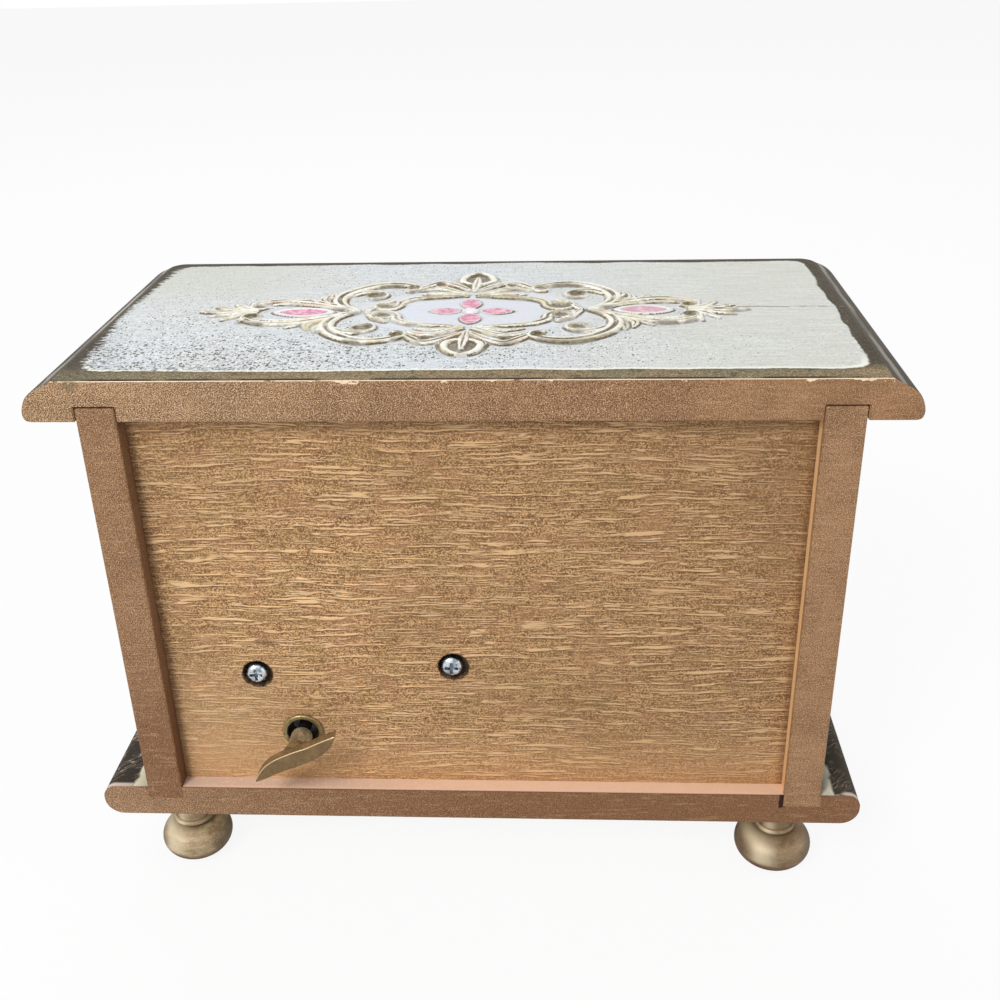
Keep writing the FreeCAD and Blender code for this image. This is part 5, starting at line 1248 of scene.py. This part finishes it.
def lay_petal(u, v, half_u, half_v, rim, height, share):
    """A pointed oval: a pink dish with a white rim."""
    along, over = np.abs(fold_u - u) / half_u, np.abs(fold_v - v) / half_v
    grown = np.hypot(along, over) * 0.55 + (along ** 1.5 + over ** 1.5) * 0.45
    edge = (grown - 1) * min(half_u, half_v)
    cover[:] = np.minimum(cover, edge)
    inside = edge < 0
    ridge = np.exp(-(((edge + rim * 0.5) / (rim * 0.5)) ** 2))
    raised = height * (0.45 + 0.55 * ridge)
    rise_mm[:] = np.where(inside, np.maximum(raised, 0), rise_mm)
    hollow[:] = np.where(inside, 0.25 * np.exp(-(((edge + rim * 1.1) / 0.18) ** 2)), hollow)
    pinker = share * np.clip((-edge - rim) / 0.35, 0, 1)
    blush_share[:] = np.where(inside, pinker, blush_share)
    whiteness[:] = np.where(inside, 1.0, whiteness)


for tip, width in (((61.5, 0), 1.5), ((58.4, 3.4), 1.45), ((54.8, 6.2), 1.45), ((51.0, 7.9), 1.3)):
    lay_stroke([(48.8, 0.8), ((50 + tip[0]) / 2 - 0.6, tip[1] * 0.35 + 0.3), tip],
               [0.7, width, 0.35], 0.62, "leaf")
lay_stroke([(31.5, 9), (33.2, 11.4), (33.0, 14)], [0.9, 1.2, 0.4], 0.5, "leaf")
lay_stroke([(33, 5.6), (35.6, 9.0), (34.9, 12.6)], [0.8, 1.2, 0.4], 0.5, "leaf")
lay_stroke([(36, 7.2), (38.2, 9.4), (39.6, 11.0)], [0.8, 1.0, 0.4], 0.45, "leaf")
lay_stroke([(26.5, 0), (29.5, 2.6), (33, 5.2), (37.5, 7.6), (42, 8.6), (46.5, 8.0), (49.8, 5.8),
            (50.3, 3.2), (48.6, 2.0), (47.2, 3.0)],
           [0.8, 1.0, 1.25, 1.35, 1.35, 1.2, 1.0, 0.85, 0.7, 0.6], 0.72, "fluted")
lay_stroke([(29, 0.8), (33, 3.4), (38, 5.4), (42.5, 6.2), (46, 5.6)],
           [0.4, 0.7, 0.75, 0.7, 0.4], 0.5, "round")
lay_petal(38.2, 0, 6.8, 3.4, 0.9, 0.42, 1.0)
sink_pit(48.7, 3.7, 1.3)
lay_stroke([(24.2, 0.6), (22.7, 3.3), (21.5, 5.6), (19.2, 7.6)], [0.7, 1.1, 1.1, 0.8], 0.6, "leaf")
lay_stroke([(2.5, 11.5), (6, 10.8), (10, 10.2), (14, 8.9), (16.6, 6.5), (17.2, 3.5), (18.6, 1.4),
            (20.8, 1.2), (22.3, 3.0), (21.7, 5.2), (20, 5.3)],
           [0.5, 0.8, 1.0, 1.2, 1.3, 1.2, 1.0, 0.9, 0.85, 0.8, 0.6], 0.66, "fluted")
lay_stroke([(29, 12.5), (26.5, 14.6), (23.5, 14.6), (21.3, 12.6), (21.9, 10.3), (24, 9.8)],
           [1.0, 1.3, 1.3, 1.2, 1.0, 0.7], 0.68, "fluted")
lay_stroke([(26.5, 0.4), (29.6, 3.4), (31.3, 7.2), (31.2, 11.2), (29.3, 15.2), (25.9, 18.6), (21.9, 20.5),
            (17.5, 20.0), (14.2, 17.8), (14.0, 15.6), (15.8, 14.9)],
           [0.9, 1.4, 1.8, 1.95, 1.95, 1.9, 1.8, 1.5, 1.2, 1.0, 0.7], 0.78, "fluted")
lay_stroke([(1.2, 12.6), (3.8, 14.2), (6.6, 16.4), (9.6, 16.8), (12.4, 15.4)],
           [0.5, 1.1, 1.3, 1.1, 0.5], 0.6, "leaf")
lay_stroke([(1.4, 11.2), (4.6, 12.6), (8.2, 13.4), (11.6, 12.6)], [0.5, 0.9, 1.0, 0.4], 0.5, "leaf")
lay_stroke([(1.5, 16), (5, 19.7), (8.5, 21.7), (11.2, 19.4), (13.1, 17)],
           [0.7, 1.2, 1.3, 1.3, 0.8], 0.7, "fluted")
lay_stroke([(2.2, 17.6), (4.6, 22.0), (4.2, 24.4)], [0.5, 0.9, 0.4], 0.5, "leaf")
lay_stroke([(1.6, 20.2), (3.8, 22.8), (2.9, 27.0), (0.3, 29.4)], [0.6, 0.95, 1.0, 0.7], 0.74, "round")
lay_stroke([(0, 15.2), (0, 20), (0, 25.6)], [0.5, 1.6, 0.6], 0.66, "leaf")
sink_pit(20.0, 3.2, 1.6)
sink_pit(23.3, 12.0, 1.7)
sink_pit(15.0, 17.2, 1.2)
sink_pit(8.5, 19.6, 1.0)
groove_gap = np.hypot(fold_u - 1.9, (fold_v - 25.0) * 0.45)
hollow[:] = np.maximum(hollow, np.clip(1.5 - groove_gap / 0.9, 0, 1) * (rise_mm < 0.45))
lay_petal(5.9, 0, 3.8, 2.3, 0.15, 0.45, 1.0)
lay_petal(0, 5.5, 2.5, 3.7, 0.15, 0.45, 1.0)
middle = np.hypot(fold_u, fold_v)
lay_centre = middle < 2.0
rise_mm[lay_centre] = 0.55 * np.sqrt(1 - (middle[lay_centre] / 2.0) ** 2) + 0.1
whiteness[lay_centre] = 1.0
blush_share[lay_centre] = 0.0
hollow[lay_centre] = 0.1
cover = np.minimum(cover, middle - 2.0)

stain = np.clip(1 - np.maximum(cover, 0) / 0.55, 0, 1) * (rise_mm < 0.12)
hollow = np.clip(np.maximum(hollow, stain * 0.9), 0, 1)
end_leaf = np.hypot(fold_u / 5.5, (fold_v - 23.5) / 6.5) < 1
hollow = np.where(end_leaf & (rise_mm < 0.45), np.clip(hollow + 0.6, 0, 1), hollow)
height = rise_mm.reshape(v_count, u_count)
blurred = height.copy()
for shift in (1, 2, 3):
    for axis in (0, 1):
        blurred = (blurred + np.roll(blurred, shift, axis) + np.roll(blurred, -shift, axis)) / 3
lowness = np.clip((blurred - height) * 3.0, 0, 1).ravel()
hollow = np.clip(hollow + lowness * (rise_mm > 0.05), 0, 1)
soft = (height * 4 + np.roll(height, 1, 0) + np.roll(height, -1, 0) + np.roll(height, 1, 1)
        + np.roll(height, -1, 1)) / 8
# Painted shade on the flanks that face the front, from the slope of the blurred height.
near_flank_shade = np.clip(np.gradient(blurred, grid_step, axis=0) * 3.2, 0, 1)
kept = (cover < 1.0).reshape(v_count, u_count)
cells = kept[:-1, :-1] & kept[1:, :-1] & kept[:-1, 1:] & kept[1:, 1:]
vertex_z = lid_top + 0.00001 + np.clip(soft, 0, 0.77) * mm
used = np.zeros(kept.shape, bool)
used[:-1, :-1] |= cells
used[1:, :-1] |= cells
used[:-1, 1:] |= cells
used[1:, 1:] |= cells
number = np.full(kept.shape, -1)
number[used] = np.arange(used.sum())
middle_x, middle_y = 0.0012, 0.00025
points = np.stack([middle_x - grid_u[used] * mm, middle_y - grid_v[used] * mm, vertex_z[used]], axis=1)
rows, columns = np.nonzero(cells)
quads = np.stack([number[rows, columns], number[rows, columns + 1], number[rows + 1, columns + 1],
                  number[rows + 1, columns]], axis=1)
ornament_mesh = bpy.data.meshes.new("top_ornament")
ornament_mesh.from_pydata(points.tolist(), [], quads.tolist())
for label, values in (("hollow", hollow), ("blush", blush_share), ("whiteness", whiteness),
                      ("flank", near_flank_shade)):
    layer = ornament_mesh.attributes.new(label, "FLOAT", "POINT")
    layer.data.foreach_set("value", values.reshape(kept.shape)[used].astype(np.float32))
work = bmesh.new()
work.from_mesh(ornament_mesh)
rim_edges = [edge for edge in work.edges if edge.is_boundary]
skirt = bmesh.ops.extrude_edge_only(work, edges=rim_edges)["geom"]
for item in skirt:
    if isinstance(item, bmesh.types.BMVert):
        item.co.z = lid_top - 0.0001
bmesh.ops.recalc_face_normals(work, faces=work.faces)
if sum(face.normal.z for face in work.faces) < 0:
    bmesh.ops.reverse_faces(work, faces=work.faces)
work.to_mesh(ornament_mesh)
work.free()
ornament_mesh.shade_smooth()

gilt_relief, shader, place = new_material("painted_gilt_relief", Specular_IOR_Level=0.45)
x, y, z = parts_of(place)


def read_layer(name):
    return add(shader.id_data, "Attribute", attribute_name=name).outputs["Fac"]


deep, pink, pale = read_layer("hollow"), read_layer("blush"), read_layer("whiteness")
cream = use(cream_paint, Place=place, Holes=0.5, Warmth=0.25)
worn = speckle(place, 260, 3, 0.6)
fine = speckle(place, 1500, 3, 0.6)
raised_by = minus(z, lid_top)
on_relief = rise(raised_by, 8e-05, 0.00024)
gilding = shades(worn, (0.36, (218, 212, 190)), (0.5, (240, 238, 228)), (0.62, (228, 222, 202)))
yellowed = times(rise(speckle(place, 170, 2), 0.54, 0.64), 0.65)
gilding = tint(gilding, (204, 194, 140), yellowed)
flesh = times(rise(streaks(place, (150, 190, 150), 2), 0.56, 0.66), 0.5)
gilding = tint(gilding, (232, 192, 164), flesh)
mottled = times(rise(speckle(place, 620, 3, 0.65), 0.52, 0.64), 0.6)
gilding = tint(gilding, (160, 148, 116), mottled)
# Painted highlight on the highest parts.
crest_highlight = times(rise(raised_by, 0.0004, 0.0007), 0.6)
gilding = tint(gilding, (244, 242, 234), crest_highlight)
gilding = tint(gilding, (226, 224, 232), pale, 0.85)
colour = blend(on_relief, tint(cream["Colour"], (218, 218, 228), 0.35), gilding)
olive = blend(rise(fine, 0.4, 0.6), (72, 60, 38), (118, 104, 72))
gate = scaled(rise(speckle(place, 190, 3), 0.42, 0.56), 0.58, 0.42)
flank = times(read_layer("flank"), rise(speckle(place, 120, 2), 0.38, 0.5))
# Olive antiquing in the hollows, joined with painted shade on the near flanks.
antiquing_and_shade = times(rise(deep, 0.1, 0.52), gate)
antiquing_and_shade = most(antiquing_and_shade, times(rise(flank, 0.2, 0.8), 0.85))
antiquing_and_shade = most(antiquing_and_shade, times(rise(deep, 0.8, 1.0), 0.92))
colour = blend(antiquing_and_shade, colour, olive)
petal = blend(rise(speckle(place, 700, 3, 0.6), 0.4, 0.6), (186, 84, 122), (232, 152, 178))
petal = tint(petal, (200, 156, 156), rise(x, -0.01, -0.03), 0.65)
petal = tint(petal, (236, 206, 216), rise(worn, 0.56, 0.64), 0.5)
colour = blend(times(pink, 0.9), colour, petal)
finish_paint(shader, colour, scaled(fine, 0.3, 0.3), fine, 0.4, 0.0001)
ornament = new_object("top_ornament_carved", dressed(ornament_mesh, gilt_relief))
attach(ornament, "case")
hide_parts("top_relief")
